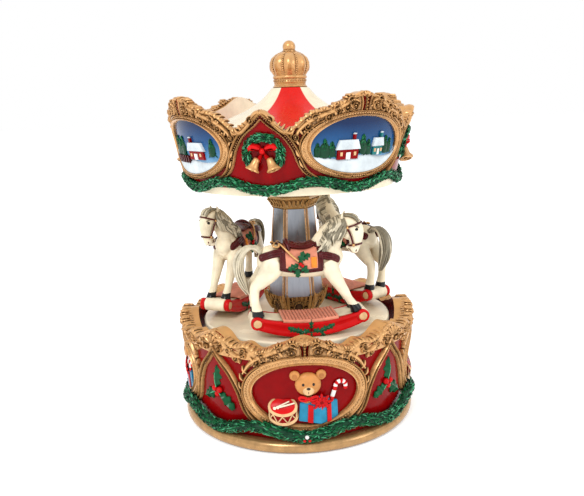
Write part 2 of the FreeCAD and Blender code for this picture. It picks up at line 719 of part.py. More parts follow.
def make_cover_screws():
    head_low = RECESS_HEIGHT - SCREW_HEAD_HEIGHT
    screws = [screw(SCREW_RADIUS, SCREW_HEAD_RADIUS, head_low, RECESS_HEIGHT, COVER_TOP + SCREW_BITE,
                    place.x, place.y) for place in cover_screw_places()]
    return Part.makeCompound(screws)


def make_bedplate_screws():
    head_low = RECESS_HEIGHT - SCREW_HEAD_HEIGHT
    screws = [screw(SCREW_RADIUS, SCREW_HEAD_RADIUS, head_low, RECESS_HEIGHT, BED_TOP, x, y)
              for x, y in BED_SCREW_PLACES]
    return Part.makeCompound(screws)


def comb_screw_places():
    step = CYLINDER_LENGTH / COMB_SCREWS
    return [(CYLINDER_START + (index + 0.5) * step, COMB_BACK + PEDESTAL_DEPTH / 2)
            for index in range(COMB_SCREWS)]


def worm_bearing(low, high):
    return upright_cylinder(WORM_SHAFT_RADIUS + RUNNING_CLEARANCE, low, high, WORM_PLACE, WORM_SIDE)


def make_bedplate():
    plate = block((-BED_LEFT, -BED_FRONT, COVER_TOP), (BED_RADIUS, BED_BACK, BED_TOP))
    plate = plate.common(upright_cylinder(BED_RADIUS, COVER_TOP, BED_TOP))
    pedestal = block((CYLINDER_START, COMB_BACK, COVER_TOP),
                     (CYLINDER_END, COMB_BACK + PEDESTAL_DEPTH, COMB_FLOOR))
    holes = [upright_cylinder(SCREW_RADIUS, COVER_TOP, BED_TOP, x, y) for x, y in BED_SCREW_PLACES]
    holes += [upright_cylinder(COMB_SCREW_RADIUS, COMB_FLOOR - COMB_SCREW_DEPTH, COMB_FLOOR, x, y)
              for x, y in comb_screw_places()]
    holes.append(upright_cylinder(ARBOR_RADIUS + RUNNING_CLEARANCE, COVER_TOP, BED_TOP))
    holes.append(worm_bearing(COVER_TOP, BED_TOP))
    return plate.fuse(pedestal).cut(holes).removeSplitter()


def make_comb():
    """A steel comb with one tuned tooth to each row of pins."""
    pitch = CYLINDER_LENGTH / COMB_TEETH
    gap = pitch * (1 - COMB_TOOTH_SHARE)
    points = [Vector(CYLINDER_START, COMB_BACK, COMB_FLOOR)]
    for tooth in range(COMB_TEETH):
        left = CYLINDER_START + tooth * pitch
        right = left + pitch - gap
        points += [Vector(left, COMB_TIP, COMB_FLOOR), Vector(right, COMB_TIP, COMB_FLOOR)]
        if tooth < COMB_TEETH - 1:
            points += [Vector(right, COMB_ROOT, COMB_FLOOR), Vector(left + pitch, COMB_ROOT, COMB_FLOOR)]
    points.append(Vector(points[-1].x, COMB_BACK, COMB_FLOOR))
    plate = prism(points, Vector(0, 0, COMB_THICKNESS))
    holes = [upright_cylinder(COMB_SCREW_RADIUS, COMB_FLOOR, COMB_FLOOR + COMB_THICKNESS, x, y)
             for x, y in comb_screw_places()]
    return plate.cut(holes)


def make_comb_screws():
    top = COMB_FLOOR + COMB_THICKNESS
    screws = [screw(COMB_SCREW_RADIUS, COMB_SCREW_HEAD_RADIUS, top, top + SCREW_HEAD_HEIGHT,
                    COMB_FLOOR - COMB_SCREW_DEPTH, x, y) for x, y in comb_screw_places()]
    return Part.makeCompound(screws)


def bearing_plate(start, side_low, side_high, top):
    return block((start, side_low, BED_TOP), (start + PLATE_THICKNESS, side_high, top))


def make_cylinder_bracket():
    """The bearing between the barrel and the pin cylinder."""
    start = (BARREL_RADIUS + CYLINDER_START - PLATE_THICKNESS) / 2
    plate = bearing_plate(start, -PLATE_MARGIN, PLATE_MARGIN, CYLINDER_AXIS + PLATE_MARGIN)
    hole = cylinder_along_x(CYLINDER_ARBOR_RADIUS + RUNNING_CLEARANCE, 0, REACH, 0, CYLINDER_AXIS)
    return plate.cut(hole)


def make_governor_frame():
    """The outer bearing plate with the arm over the fly, and the small inner post."""
    end = FRAME_PLATE + PLATE_THICKNESS
    tall = bearing_plate(FRAME_PLATE, -PLATE_MARGIN, PLATE_MARGIN, ARM_TOP)
    low = bearing_plate(FRAME_PLATE, -PLATE_MARGIN, GOVERNOR_SIDE + PLATE_MARGIN / 2,
                        GOVERNOR_AXIS + PLATE_MARGIN / 2)
    arm_start = GEAR_START + GEAR_WIDTH + GEAR_SPACING / 2
    arm = block((arm_start, -PLATE_MARGIN, ARM_FLOOR), (end, WORM_SIDE + PLATE_MARGIN / 2, ARM_TOP))
    post_side = PIN_TIP_RADIUS + GEAR_SPACING / 2
    governor_bore = GOVERNOR_ARBOR_RADIUS + RUNNING_CLEARANCE
    post = block((CYLINDER_END - PLATE_THICKNESS, post_side, BED_TOP),
                 (CYLINDER_END, 2 * GOVERNOR_SIDE - post_side, GOVERNOR_AXIS + PLATE_MARGIN / 2))
    holes = [cylinder_along_x(CYLINDER_ARBOR_RADIUS + RUNNING_CLEARANCE, 0, REACH, 0, CYLINDER_AXIS),
             cylinder_along_x(governor_bore, 0, REACH, GOVERNOR_SIDE, GOVERNOR_AXIS),
             worm_bearing(ARM_FLOOR, ARM_TOP)]
    frame = tall.fuse([low, arm]).cut(holes).removeSplitter()
    return Part.makeCompound([frame, post.cut(holes)])


def make_click_spring():
    """The click that lets the ratchet wheel turn one way."""
    side = RATCHET_RADIUS + RATCHET_GAP
    height = RATCHET_GAP + RATCHET_THICKNESS
    return block((-CLICK_LENGTH, side, BED_TOP), (0, side + CLICK_WIDTH, BED_TOP + height))


def make_deck_bush():
    bore = ARBOR_RADIUS + RUNNING_CLEARANCE
    return revolved(((bore, DECK_TOP), (BUSH_RADIUS, DECK_TOP), (BUSH_RADIUS, DECK_FLOOR),
                     (BUSH_FLANGE_RADIUS, DECK_FLOOR), (BUSH_FLANGE_RADIUS, DECK_FLOOR - BUSH_FLANGE),
                     (bore, DECK_FLOOR - BUSH_FLANGE)))


def make_spring_barrel():
    boss_top = BARREL_TOP + BARREL_BOSS_HEIGHT
    cup = revolved(((BARREL_BORE, BARREL_FLOOR), (BARREL_RADIUS, BARREL_FLOOR), (BARREL_RADIUS, BARREL_TOP),
                    (BARREL_BOSS_RADIUS, BARREL_TOP), (BARREL_BOSS_RADIUS, boss_top),
                    (ARBOR_RADIUS, boss_top), (ARBOR_RADIUS, ROD_FOOT), (0, ROD_FOOT),
                    (0, BARREL_CEILING), (BARREL_BORE, BARREL_CEILING)))
    tooth = block((BARREL_RADIUS - CROWN_FACE, -CROWN_TOOTH_WIDTH / 2, BARREL_TOP - BARREL_WALL / 2),
                  (BARREL_RADIUS - TOOTH_GAP, CROWN_TOOTH_WIDTH / 2, BARREL_TOP + CROWN_TOOTH_HEIGHT))
    teeth = around(tooth, CROWN_TEETH, 180.0 / CROWN_TEETH)
    return cup.fuse(teeth).removeSplitter()


def make_barrel_cap():
    return revolved(((ARBOR_RADIUS + RUNNING_CLEARANCE, BARREL_FLOOR), (BARREL_BORE, BARREL_FLOOR),
                     (BARREL_BORE, BARREL_FLOOR + BARREL_WALL),
                     (ARBOR_RADIUS + RUNNING_CLEARANCE, BARREL_FLOOR + BARREL_WALL)))


def make_mainspring():
    """A spiral strip that fills the barrel, with its outer end against the barrel wall."""
    low = BARREL_FLOOR + BARREL_WALL + SPRING_CLEARANCE
    high = BARREL_CEILING - SPRING_CLEARANCE
    first = SPRING_HUB_RADIUS + SPRING_CLEARANCE
    last = BARREL_BORE - SPRING_THICKNESS
    count = SPRING_TURNS * SPRING_POINTS_PER_TURN

    def spiral(offset):
        points = []
        for index in range(count + 1):
            radius = first + (last - first) * index / count + offset
            points.append(polar(radius, 360.0 * index / SPRING_POINTS_PER_TURN, low))
        return points

    return prism(spiral(0.0) + spiral(SPRING_THICKNESS)[::-1], Vector(0, 0, high - low))


def make_winding_arbor():
    hub_low = BARREL_FLOOR + BARREL_WALL + SPRING_CLEARANCE
    top = BARREL_CEILING - SPRING_CLEARANCE
    foot = KEY_FLOOR + KEY_LOBE_RADIUS
    return revolved(((0, foot), (ARBOR_RADIUS, foot), (ARBOR_RADIUS, hub_low), (SPRING_HUB_RADIUS, hub_low),
                     (SPRING_HUB_RADIUS, top), (0, top)))


def make_ratchet_wheel():
    low = BED_TOP + RATCHET_GAP
    points = []
    for tooth in range(RATCHET_TEETH):
        angle = 360.0 * tooth / RATCHET_TEETH
        points.append(polar(RATCHET_RADIUS, angle, low))
        points.append(polar(RATCHET_RADIUS - RATCHET_DEPTH, angle + RATCHET_BACK_ANGLE, low))
    wheel = prism(points, Vector(0, 0, RATCHET_THICKNESS))
    return wheel.cut(upright_cylinder(ARBOR_RADIUS, low, low + RATCHET_THICKNESS))


def make_winding_key():
    """A butterfly key with two finger lobes on a hub."""
    lobe_offset = KEY_HALF_WIDTH - KEY_LOBE_RADIUS
    middle = KEY_FLOOR + KEY_LOBE_RADIUS

    def across(radius, x):
        return Part.makeCylinder(radius, KEY_PLATE, Vector(x, -KEY_PLATE / 2, middle), ALONG_Y)

    web = block((-lobe_offset, -KEY_PLATE / 2, middle - KEY_LOBE_RADIUS / 2),
                (lobe_offset, KEY_PLATE / 2, middle + KEY_LOBE_RADIUS / 2))
    hub = upright_cylinder(KEY_HUB_RADIUS, middle - KEY_LOBE_RADIUS / 2, RECESS_HEIGHT - KEY_COVER_GAP)
    plate = web.fuse([across(KEY_LOBE_RADIUS, lobe_offset), across(KEY_LOBE_RADIUS, -lobe_offset), hub])
    holes = [across(KEY_HOLE_RADIUS, lobe_offset), across(KEY_HOLE_RADIUS, -lobe_offset)]
    bore = upright_cylinder(ARBOR_RADIUS, middle, RECESS_HEIGHT)
    return plate.cut(holes + [bore]).removeSplitter()


def make_music_cylinder():
    """The brass cylinder, with rows of pins that stand under the comb's teeth."""
    drum = cylinder_along_x(CYLINDER_RADIUS, CYLINDER_START, CYLINDER_END, 0, CYLINDER_AXIS)
    pitch = CYLINDER_LENGTH / COMB_TEETH
    pins = []
    for row in range(COMB_TEETH):
        x = CYLINDER_START + (row + COMB_TOOTH_SHARE / 2) * pitch
        for index in range(PINS_PER_ROW):
            pin = block((x - PIN_WIDTH / 2, -PIN_WIDTH / 2, CYLINDER_RADIUS - PIN_SINK),
                        (x + PIN_WIDTH / 2, PIN_WIDTH / 2, PIN_TIP_RADIUS))
            pin.rotate(ORIGIN, ALONG_X, PIN_STEP_ANGLE * row + 360.0 * index / PINS_PER_ROW)
            pins.append(moved(pin, Vector(0, 0, CYLINDER_AXIS)))
    bore = cylinder_along_x(CYLINDER_ARBOR_RADIUS, CYLINDER_START, CYLINDER_END, 0, CYLINDER_AXIS)
    return drum.fuse(pins).cut(bore).removeSplitter()


def make_cylinder_arbor():
    """The cylinder's arbor, with the pinion that runs on the barrel's crown teeth."""
    shaft = cylinder_along_x(CYLINDER_ARBOR_RADIUS, BARREL_RADIUS - CROWN_FACE,
                             FRAME_PLATE + PLATE_THICKNESS, 0, CYLINDER_AXIS)
    pinion = gear_wheel(PINION_TEETH, CROWN_MODULE, CROWN_FACE, -90.0)
    pinion = moved(pinion, Vector(BARREL_RADIUS - CROWN_FACE, 0, CYLINDER_AXIS))
    return shaft.fuse(pinion).removeSplitter()


def make_cylinder_gear():
    wheel = gear_wheel(GEAR_TEETH, GEAR_MODULE, GEAR_WIDTH, GOVERNOR_ANGLE)
    wheel = moved(wheel, Vector(GEAR_START, 0, CYLINDER_AXIS))
    return wheel.cut(cylinder_along_x(CYLINDER_ARBOR_RADIUS, 0, REACH, 0, CYLINDER_AXIS))


def make_governor_wheel():
    """The governor's arbor with its pinion and worm wheel."""
    centre = Vector(0, GOVERNOR_SIDE, GOVERNOR_AXIS)
    shaft = cylinder_along_x(GOVERNOR_ARBOR_RADIUS, CYLINDER_END - PLATE_THICKNESS,
                             FRAME_PLATE + PLATE_THICKNESS, GOVERNOR_SIDE, GOVERNOR_AXIS)
    gap_phase = 180.0 + GOVERNOR_ANGLE + 180.0 / GOVERNOR_PINION_TEETH
    pinion = gear_wheel(GOVERNOR_PINION_TEETH, GEAR_MODULE, GEAR_WIDTH, gap_phase)
    wheel = gear_wheel(WORM_WHEEL_TEETH, WORM_MODULE, WORM_WHEEL_WIDTH, 0.0)
    return shaft.fuse([moved(pinion, centre + ALONG_X * GEAR_START),
                       moved(wheel, centre + ALONG_X * WORM_WHEEL_START)]).removeSplitter()


def make_governor_worm():
    """The upright worm, whose thread stands between the worm wheel's teeth."""
    shaft = upright_cylinder(WORM_SHAFT_RADIUS, COVER_TOP + RATCHET_GAP, ARM_TOP)
    root = WORM_RADIUS - WORM_THREAD_DEPTH / 2
    core = upright_cylinder(root, GOVERNOR_AXIS - WORM_HALF_LENGTH, GOVERNOR_AXIS + WORM_HALF_LENGTH)
    turns = int(2 * WORM_HALF_LENGTH / WORM_LEAD) - 1
    start = GOVERNOR_AXIS + (0.5 - WORM_FACING_SHARE - math.ceil(turns / 2)) * WORM_LEAD
    helix = moved(Part.makeHelix(WORM_LEAD, turns * WORM_LEAD, root), Vector(0, 0, start))
    half = WORM_THREAD_WIDTH / 2
    sink = root - half / 2
    corners = [Vector(sink, 0, start - half), Vector(root + WORM_THREAD_DEPTH, 0, start - half / 2),
               Vector(root + WORM_THREAD_DEPTH, 0, start + half / 2), Vector(sink, 0, start + half)]
    section = Part.makePolygon(corners + corners[:1])
    thread = Part.Wire(helix).makePipeShell([section], True, True)
    worm = shaft.fuse([core, thread])
    return moved(worm, Vector(WORM_PLACE, WORM_SIDE, 0))


def make_fly():
    """Two flat vanes that brake the train against the air."""
    hub = upright_cylinder(FLY_HUB_RADIUS, FLY_FLOOR, FLY_TOP)
    vane = block((-FLY_RADIUS, -FLY_THICKNESS / 2, FLY_FLOOR), (FLY_RADIUS, FLY_THICKNESS / 2, FLY_TOP))
    bore = upright_cylinder(WORM_SHAFT_RADIUS, FLY_FLOOR, FLY_TOP)
    return moved(hub.fuse(vane).cut(bore).removeSplitter(), Vector(WORM_PLACE, WORM_SIDE, 0))


# Turntable, column, canopy and crown


def make_centre_rod():
    return upright_cylinder(ARBOR_RADIUS, ROD_FOOT, ROD_TOP)


def rod_hole():
    return upright_cylinder(ARBOR_RADIUS, ROD_FOOT, ROD_TOP)


def make_platform():
    disc = upright_cylinder(PLATFORM_RADIUS, PLATFORM_FLOOR, PLATFORM_TOP)
    rim = [edge for edge in disc.Edges
           if edge.Length > PLATFORM_RADIUS and edge.BoundBox.ZMin > PLATFORM_FLOOR]
    disc = disc.makeFillet(min(PLATFORM_ROUND, PLATFORM_THICKNESS / 3), rim)
    hub = upright_cylinder(HUB_RADIUS, DECK_TOP + HUB_GAP, PLATFORM_FLOOR)
    return disc.fuse(hub).cut(rod_hole()).removeSplitter()


def hexagon(radius, height):
    """The corners of the column's plan at one level."""
    step = 360.0 / COLUMN_SIDES
    return [polar(radius, COLUMN_TURN + step * side, height) for side in range(COLUMN_SIDES)]


def hexagon_loft(levels):
    """A ruled body through hexagons given as (radius, height)."""
    wires = []
    for radius, height in levels:
        corners = hexagon(radius, height)
        wires.append(Part.makePolygon(corners + corners[:1]))
    return Part.makeLoft(wires, True, True)


def column_radius(height, inset):
    share = (height - COLLAR_TOP) / COLUMN_HEIGHT
    return COLUMN_FOOT_RADIUS + share * (COLUMN_HEAD_RADIUS - COLUMN_FOOT_RADIUS) - inset


def make_column_core():
    core = hexagon_loft([(column_radius(level, COLUMN_SHEATH), level) for level in (COLLAR_TOP, COLUMN_TOP)])
    return core.cut(rod_hole())


def edge_point(height, corner, towards, inset, distance):
    """A point on a hexagon's side, at a distance from one corner towards the next."""
    corners = hexagon(column_radius(height, inset), height)
    start = corners[corner % COLUMN_SIDES]
    end = corners[towards % COLUMN_SIDES]
    return start + (end - start).normalize() * distance


def sheath_offset(inset):
    """How far a rib's edge moves along the side when the side moves in."""
    return RIB_WIDTH - inset * math.tan(math.pi / COLUMN_SIDES) * math.cos(math.pi / COLUMN_SIDES)


def rib_section(height, corner):
    outer = hexagon(column_radius(height, 0.0), height)[corner]
    inner = hexagon(column_radius(height, COLUMN_SHEATH), height)[corner]
    near = sheath_offset(COLUMN_SHEATH)
    points = [outer, edge_point(height, corner, corner + 1, 0.0, RIB_WIDTH),
              edge_point(height, corner, corner + 1, COLUMN_SHEATH, near), inner,
              edge_point(height, corner, corner - 1, COLUMN_SHEATH, near),
              edge_point(height, corner, corner - 1, 0.0, RIB_WIDTH)]
    return Part.makePolygon(points + points[:1])


def make_column_ribs():
    ribs = [Part.makeLoft([rib_section(level, corner) for level in (COLLAR_TOP, COLUMN_TOP)], True, True)
            for corner in range(COLUMN_SIDES)]
    return Part.makeCompound(ribs)


def pane_section(height, corner):
    inset = COLUMN_SHEATH - PANE_THICKNESS
    near = sheath_offset(COLUMN_SHEATH)
    far = sheath_offset(inset)
    points = [edge_point(height, corner, corner + 1, inset, far),
              edge_point(height, corner + 1, corner, inset, far),
              edge_point(height, corner + 1, corner, COLUMN_SHEATH, near),
              edge_point(height, corner, corner + 1, COLUMN_SHEATH, near)]
    return Part.makePolygon(points + points[:1])


def make_mirror_panes():
    panes = [Part.makeLoft([pane_section(level, corner) for level in (COLLAR_TOP, COLUMN_TOP)], True, True)
             for corner in range(COLUMN_SIDES)]
    return Part.makeCompound(panes)


def make_column_collar():
    lip_top = COLLAR_TOP + COLLAR_LIP_HEIGHT
    bowl = hexagon_loft(((COLLAR_FOOT_RADIUS, PLATFORM_TOP), (COLLAR_TOP_RADIUS, COLLAR_TOP)))
    lip = hexagon_loft(((COLLAR_TOP_RADIUS, COLLAR_TOP), (COLLAR_TOP_RADIUS + COLLAR_LIP_FLARE, lip_top)))
    column = hexagon_loft([(column_radius(level, 0.0), level) for level in (COLLAR_TOP, COLUMN_TOP)])
    return bowl.fuse(lip).cut([column, rod_hole()])


def make_column_capital():
    flare_top = COLUMN_TOP + CAPITAL_FLARE_HEIGHT
    body = hexagon_loft(((COLUMN_HEAD_RADIUS, COLUMN_TOP), (CAPITAL_TOP_RADIUS, flare_top),
                         (CAPITAL_TOP_RADIUS, CAPITAL_TOP)))
    return body.cut(rod_hole())


def canopy_bore(height):
    return canopy_wall_radius(height) - CANOPY_WALL


def make_canopy_shell(cutter):
    rim = CANOPY_CREST_TOP + FRAME_RISE
    wall = revolved(((canopy_wall_radius(CANOPY_RIM), CANOPY_RIM), (canopy_wall_radius(rim), rim),
                     (canopy_bore(rim), rim), (canopy_bore(CANOPY_RIM), CANOPY_RIM)))
    return wall.cut(cutter)


def make_canopy_ceiling():
    top = CANOPY_RIM + CEILING_THICKNESS
    return revolved(((ARBOR_RADIUS, CAPITAL_TOP), (CAPITAL_TOP_RADIUS, CAPITAL_TOP),
                     (canopy_bore(CANOPY_RIM), CANOPY_RIM), (canopy_bore(top), top), (ARBOR_RADIUS, top)))


def make_roof():
    """A tent roof that sweeps down from the crown to the inside of the canopy wall."""
    low_edge = ROOF_EDGE - ROOF_THICKNESS
    sweep = [(ROOF_TOP_RADIUS, ROOF_TOP), (ROOF_NECK_RADIUS, ROOF_TOP - ROOF_NECK_DROP),
             (ROOF_MIDDLE_RADIUS, ROOF_TOP - ROOF_MIDDLE_DROP), (canopy_bore(ROOF_EDGE), ROOF_EDGE)]
    under = [(radius, height - ROOF_THICKNESS) for radius, height in sweep[:-1]]
    under.append((canopy_bore(low_edge), low_edge))
    outside = open_curve([Vector(radius, 0, height) for radius, height in sweep])
    inside = open_curve([Vector(radius, 0, height) for radius, height in under])
    top_inner = Vector(ARBOR_RADIUS, 0, ROOF_TOP)
    low_inner = Vector(ARBOR_RADIUS, 0, ROOF_TOP - ROOF_THICKNESS)
    edges = [outside, inside, line(top_inner, Vector(ROOF_TOP_RADIUS, 0, ROOF_TOP)),
             line(low_inner, Vector(ROOF_TOP_RADIUS, 0, ROOF_TOP - ROOF_THICKNESS)),
             line(top_inner, low_inner),
             line(Vector(canopy_bore(ROOF_EDGE), 0, ROOF_EDGE), Vector(canopy_bore(low_edge), 0, low_edge))]
    return revolved_edges(edges)


def make_crown_finial():
    """A crown with a band, a dome and a ball."""
    band_top = ROOF_TOP + CROWN_BAND_HEIGHT
    dome_top = band_top + CROWN_DOME_HEIGHT
    foot = Vector(0, 0, ROOF_TOP)
    band_low = Vector(CROWN_BAND_RADIUS, 0, ROOF_TOP)
    band_high = Vector(CROWN_BAND_RADIUS, 0, band_top)
    dome_middle = Vector(CROWN_DOME_RADIUS, 0, band_top + CROWN_DOME_HEIGHT / 2)
    neck = Vector(CROWN_NECK_RADIUS, 0, dome_top)
    ball_middle = dome_top + math.sqrt(CROWN_BALL_RADIUS ** 2 - CROWN_NECK_RADIUS ** 2)
    ball_side = Vector(CROWN_BALL_RADIUS, 0, ball_middle)
    ball_top = Vector(0, 0, ball_middle + CROWN_BALL_RADIUS)
    body = revolved_edges([line(foot, band_low), line(band_low, band_high),
                           arc(band_high, dome_middle, neck), arc(neck, ball_side, ball_top),
                           line(ball_top, foot)])
    return body.cut(rod_hole())


def canopy_core():
    return wall_core(canopy_wall_radius, PLATFORM_TOP, CANOPY_CREST_TOP)


def make_canopy_garland():
    height = CANOPY_RIM + CANOPY_GARLAND_RISE
    radius = canopy_wall_radius(height) + CANOPY_GARLAND_STANDOFF
    ring = garland(radius, height, CANOPY_GARLAND_SWING, CANOPY_GARLAND_RADIUS)
    return ring.cut(canopy_core())


def canopy_oval(grow_angle, grow_height):
    middle = CANOPY_RIM + CANOPY_OVAL_MIDDLE
    return oval_prism(canopy_wall_radius(middle), CANOPY_OVAL_HALF_ANGLE + grow_angle,
                      middle, CANOPY_OVAL_HALF_HEIGHT + grow_height)


def canopy_point(grow_angle, grow_height):
    foot = CANOPY_RIM + CANOPY_POINT_FOOT
    return pointed_prism(canopy_wall_radius(foot), CANOPY_POINT_FOOT_ANGLE + grow_angle,
                         foot - grow_height, CANOPY_RIM + CANOPY_POINT_APEX + grow_height)


def canopy_skin(rise):
    return wall_skin(canopy_wall_radius, CANOPY_RIM, CANOPY_CREST_TOP, rise)


def canopy_frame_width():
    return math.radians(FRAME_ANGLE) * canopy_wall_radius(CANOPY_RIM + CANOPY_OVAL_MIDDLE) / 2


def around_canopy(shape):
    """Copies on every panel of one kind, as a group of solids."""
    return Part.makeCompound(around(shape, PANEL_PAIRS))


def make_canopy_oval_frames(green):
    outer = canopy_oval(FRAME_ANGLE, canopy_frame_width())
    ring = outer.cut(canopy_oval(0.0, 0.0)).common(canopy_skin(FRAME_RISE))
    return around_canopy(turned(ring, HALF_PANEL_STEP).cut(green))


def make_canopy_point_frames(green):
    outer = canopy_point(POINT_FRAME_ANGLE, POINT_FRAME_WIDTH)
    ring = outer.cut(canopy_point(0.0, 0.0)).common(canopy_skin(FRAME_RISE))
    return around_canopy(ring.cut(green))


def make_canopy_crest(cutter):
    """Carving along the crest, in one piece over each oval and each pointed panel."""
    low = CANOPY_RIM + CANOPY_CREST_FOOT
    band = wall_skin(canopy_wall_radius, low, CANOPY_CREST_TOP + FRAME_RISE, CREST_RISE).cut(cutter)
    oval = turned(canopy_oval(FRAME_ANGLE, canopy_frame_width()), HALF_PANEL_STEP)
    over_oval = band.common(sector(CANOPY_CREST_SPLIT_ANGLE, HALF_PANEL_STEP)).cut(oval)
    over_point = band.common(sector(HALF_PANEL_STEP - CANOPY_CREST_SPLIT_ANGLE, 0.0))
    over_point = over_point.cut([canopy_point(POINT_FRAME_ANGLE, POINT_FRAME_WIDTH), oval,
                                 turned(oval, -PANEL_STEP)])
    return Part.makeCompound(around(over_oval, PANEL_PAIRS) + around(over_point, PANEL_PAIRS))


def make_scene_panels():
    plate = canopy_oval(0.0, 0.0).common(canopy_skin(SCENE_PLATE))
    return around_canopy(turned(plate, HALF_PANEL_STEP))


def relief_disc(x, height, radius):
    return Part.makeCylinder(radius, REACH, Vector(x, 0, height), Vector(0, -1, 0))


def bow_parts():
    """Two drooping loops and a knot, as one relief at the front."""
    middle = CANOPY_RIM + WREATH_MIDDLE + BOW_LOOP_HEIGHT
    wall = canopy_wall_radius(middle)
    turn = math.degrees(BOW_LOOP_LENGTH / 2 / wall)
    loops = [leaf_prism(wall, side * turn, middle, BOW_LOOP_LENGTH, 2 * BOW_LOOP_HEIGHT, side * BOW_TILT)
             for side in (-1, 1)]
    plates = [loop.common(canopy_skin(BOW_RISE)) for loop in loops]
    knot = ball(BOW_KNOT_RADIUS, 0.0, middle, BOW_KNOT_SINK, canopy_wall_radius)
    return plates[0].fuse([plates[1], knot]).cut(canopy_core())


def bell_pair(bow):
    """Two bells that hang under the bow."""
    top = CANOPY_RIM + WREATH_MIDDLE
    bells = []
    for side in (-1, 1):
        mouth = Vector(0, 0, top - BELL_HEIGHT)
        bell = Part.makeCone(BELL_MOUTH_RADIUS, BELL_TOP_RADIUS, BELL_HEIGHT, mouth, UP)
        angle = math.degrees(side * BELL_SPREAD / canopy_wall_radius(top))
        bells.append(moved(bell, polar(canopy_wall_radius(top - BELL_HEIGHT / 2), angle, 0)))
    return Part.makeCompound([bell.cut([canopy_core(), bow]) for bell in bells])


def wreath_arch(bow, bells):
    """The upper part of a wreath, over the bow."""
    middle = CANOPY_RIM + WREATH_MIDDLE
    outer = relief_disc(0, middle, WREATH_RADIUS + WREATH_TUBE)
    ring = outer.cut(relief_disc(0, middle, WREATH_RADIUS - WREATH_TUBE))
    upper = block((-REACH, -REACH, middle - WREATH_TUBE), (REACH, 0, CANOPY_CREST_TOP))
    return ring.common(canopy_skin(WREATH_RISE)).common(upper).cut([bow, bells])


# Rocking horses


def loft_through(sections):
    return Part.makeLoft([Part.Wire([section]) for section in sections], True, False)


def round_section(centre, across, upward):
    """A closed oval curve about a centre, from its two half-axis vectors."""
    points = []
    for index in range(SECTION_POINTS):
        phase = 2 * math.pi * index / SECTION_POINTS
        points.append(centre + across * math.cos(phase) + upward * math.sin(phase))
    return closed_curve(points)


def turned_outward(forward, side, height):
    """A place on the horse's head, turned outward about an upright axis through the neck."""
    turn = math.radians(HEAD_TURN)
    reach = max(forward - HEAD_PIVOT, 0.0)
    return Vector(forward - reach + reach * math.cos(turn) + side * math.sin(turn),
                  side * math.cos(turn) - reach * math.sin(turn), height)


def limb(stations, side, placed=Vector):
    """A tapering limb through stations (forward, up, half width)."""
    centres = [placed(forward, side, height) for forward, height, _ in stations]
    sections = []
    for index, (_, _, radius) in enumerate(stations):
        before = centres[max(index - 1, 0)]
        after = centres[min(index + 1, len(centres) - 1)]
        direction = (after - before).normalize()
        upward = direction.cross(ALONG_Y).normalize()
        across = upward.cross(direction)
        sections.append(round_section(centres[index], across * radius, upward * radius))
    return loft_through(sections)


def torso(grow):
    """The barrel of the horse, through stations (forward, up, half width, half depth)."""
    sections = [round_section(Vector(forward, 0, height), ALONG_Y * (width + grow), UP * (depth + grow))
                for forward, height, width, depth in TORSO_STATIONS]
    return loft_through(sections)


def horse_body():
    """A rocking horse with an arched neck, its head turned and its legs stretched fore and aft."""
    pieces = [limb(NECK_STATIONS, 0, turned_outward), limb(HEAD_STATIONS, 0, turned_outward),
              limb(TAIL_STATIONS, 0)]
    for side in (-1, 1):
        pieces.append(limb(HIND_LEG_STATIONS, side * LEG_SPREAD))
        pieces.append(limb(FORE_LEG_STATIONS, side * LEG_SPREAD))
        ear_foot = turned_outward(EAR_PLACE[0], side * EAR_SPREAD, EAR_PLACE[1])
        pieces.append(Part.makeCone(EAR_RADIUS, 0, EAR_HEIGHT, ear_foot, UP))
    return torso(0.0).fuse(pieces)


def rocker_arc_plate(half_length, low_ends, low_middle, high_ends, high_middle, side_low, side_high):
    """A curved plate between two arcs, swept across the rocker."""

    def point(forward, height):
        return Vector(forward, side_low, height)

    below = arc(point(-half_length, low_ends), point(0, low_middle), point(half_length, low_ends))
    above = arc(point(half_length, high_ends), point(0, high_middle), point(-half_length, high_ends))
    right = line(point(half_length, low_ends), point(half_length, high_ends))
    left = line(point(-half_length, high_ends), point(-half_length, low_ends))
    face = Part.Face(Part.Wire([below, right, above, left]))
    return face.extrude(Vector(0, side_high - side_low, 0))


def across_cylinder(radius, forward, height, half_width):
    return Part.makeCylinder(radius, 2 * half_width, Vector(forward, -half_width, height), ALONG_Y)


def rocker_body():
    """Two rails with rolled ends, the board between them and the slatted mat."""
    inner = ROCKER_HALF_WIDTH - RAIL_THICKNESS
    knob_height = (RAIL_END_LOW + RAIL_END_HIGH) / 2
    sides = ((-ROCKER_HALF_WIDTH, -inner), (inner, ROCKER_HALF_WIDTH))
    rails = [rocker_arc_plate(ROCKER_HALF_LENGTH, RAIL_END_LOW, ROCKER_SEAT_GAP, RAIL_END_HIGH,
                              RAIL_MIDDLE_HIGH, low, high) for low, high in sides]
    board = rocker_arc_plate(ROCKER_HALF_LENGTH, BOARD_END_LOW, BOARD_MIDDLE_LOW, BOARD_END_HIGH,
                             BOARD_MIDDLE_HIGH, -inner, inner)
    pieces = rails[1:] + [board]
    for end in (-1, 1):
        forward = end * ROCKER_HALF_LENGTH
        pieces.append(across_cylinder(KNOB_RADIUS, forward, knob_height, ROCKER_HALF_WIDTH))
        pieces.append(across_cylinder(BOARD_ROLL_RADIUS, forward, knob_height, inner))
    mat = rocker_arc_plate(ROCKER_HALF_LENGTH, BOARD_END_HIGH - MAT_RISE, BOARD_MIDDLE_HIGH - MAT_RISE,
                           BOARD_END_HIGH + MAT_RISE, BOARD_MIDDLE_HIGH + MAT_RISE,
                           -ROCKER_HALF_WIDTH, ROCKER_HALF_WIDTH)
    middle = block((-MAT_HALF_LENGTH, -ROCKER_HALF_WIDTH, 0),
                   (MAT_HALF_LENGTH, ROCKER_HALF_WIDTH, SADDLE_HIGH))
    pieces.append(mat.common(middle))
    return rails[0].fuse(pieces).removeSplitter()


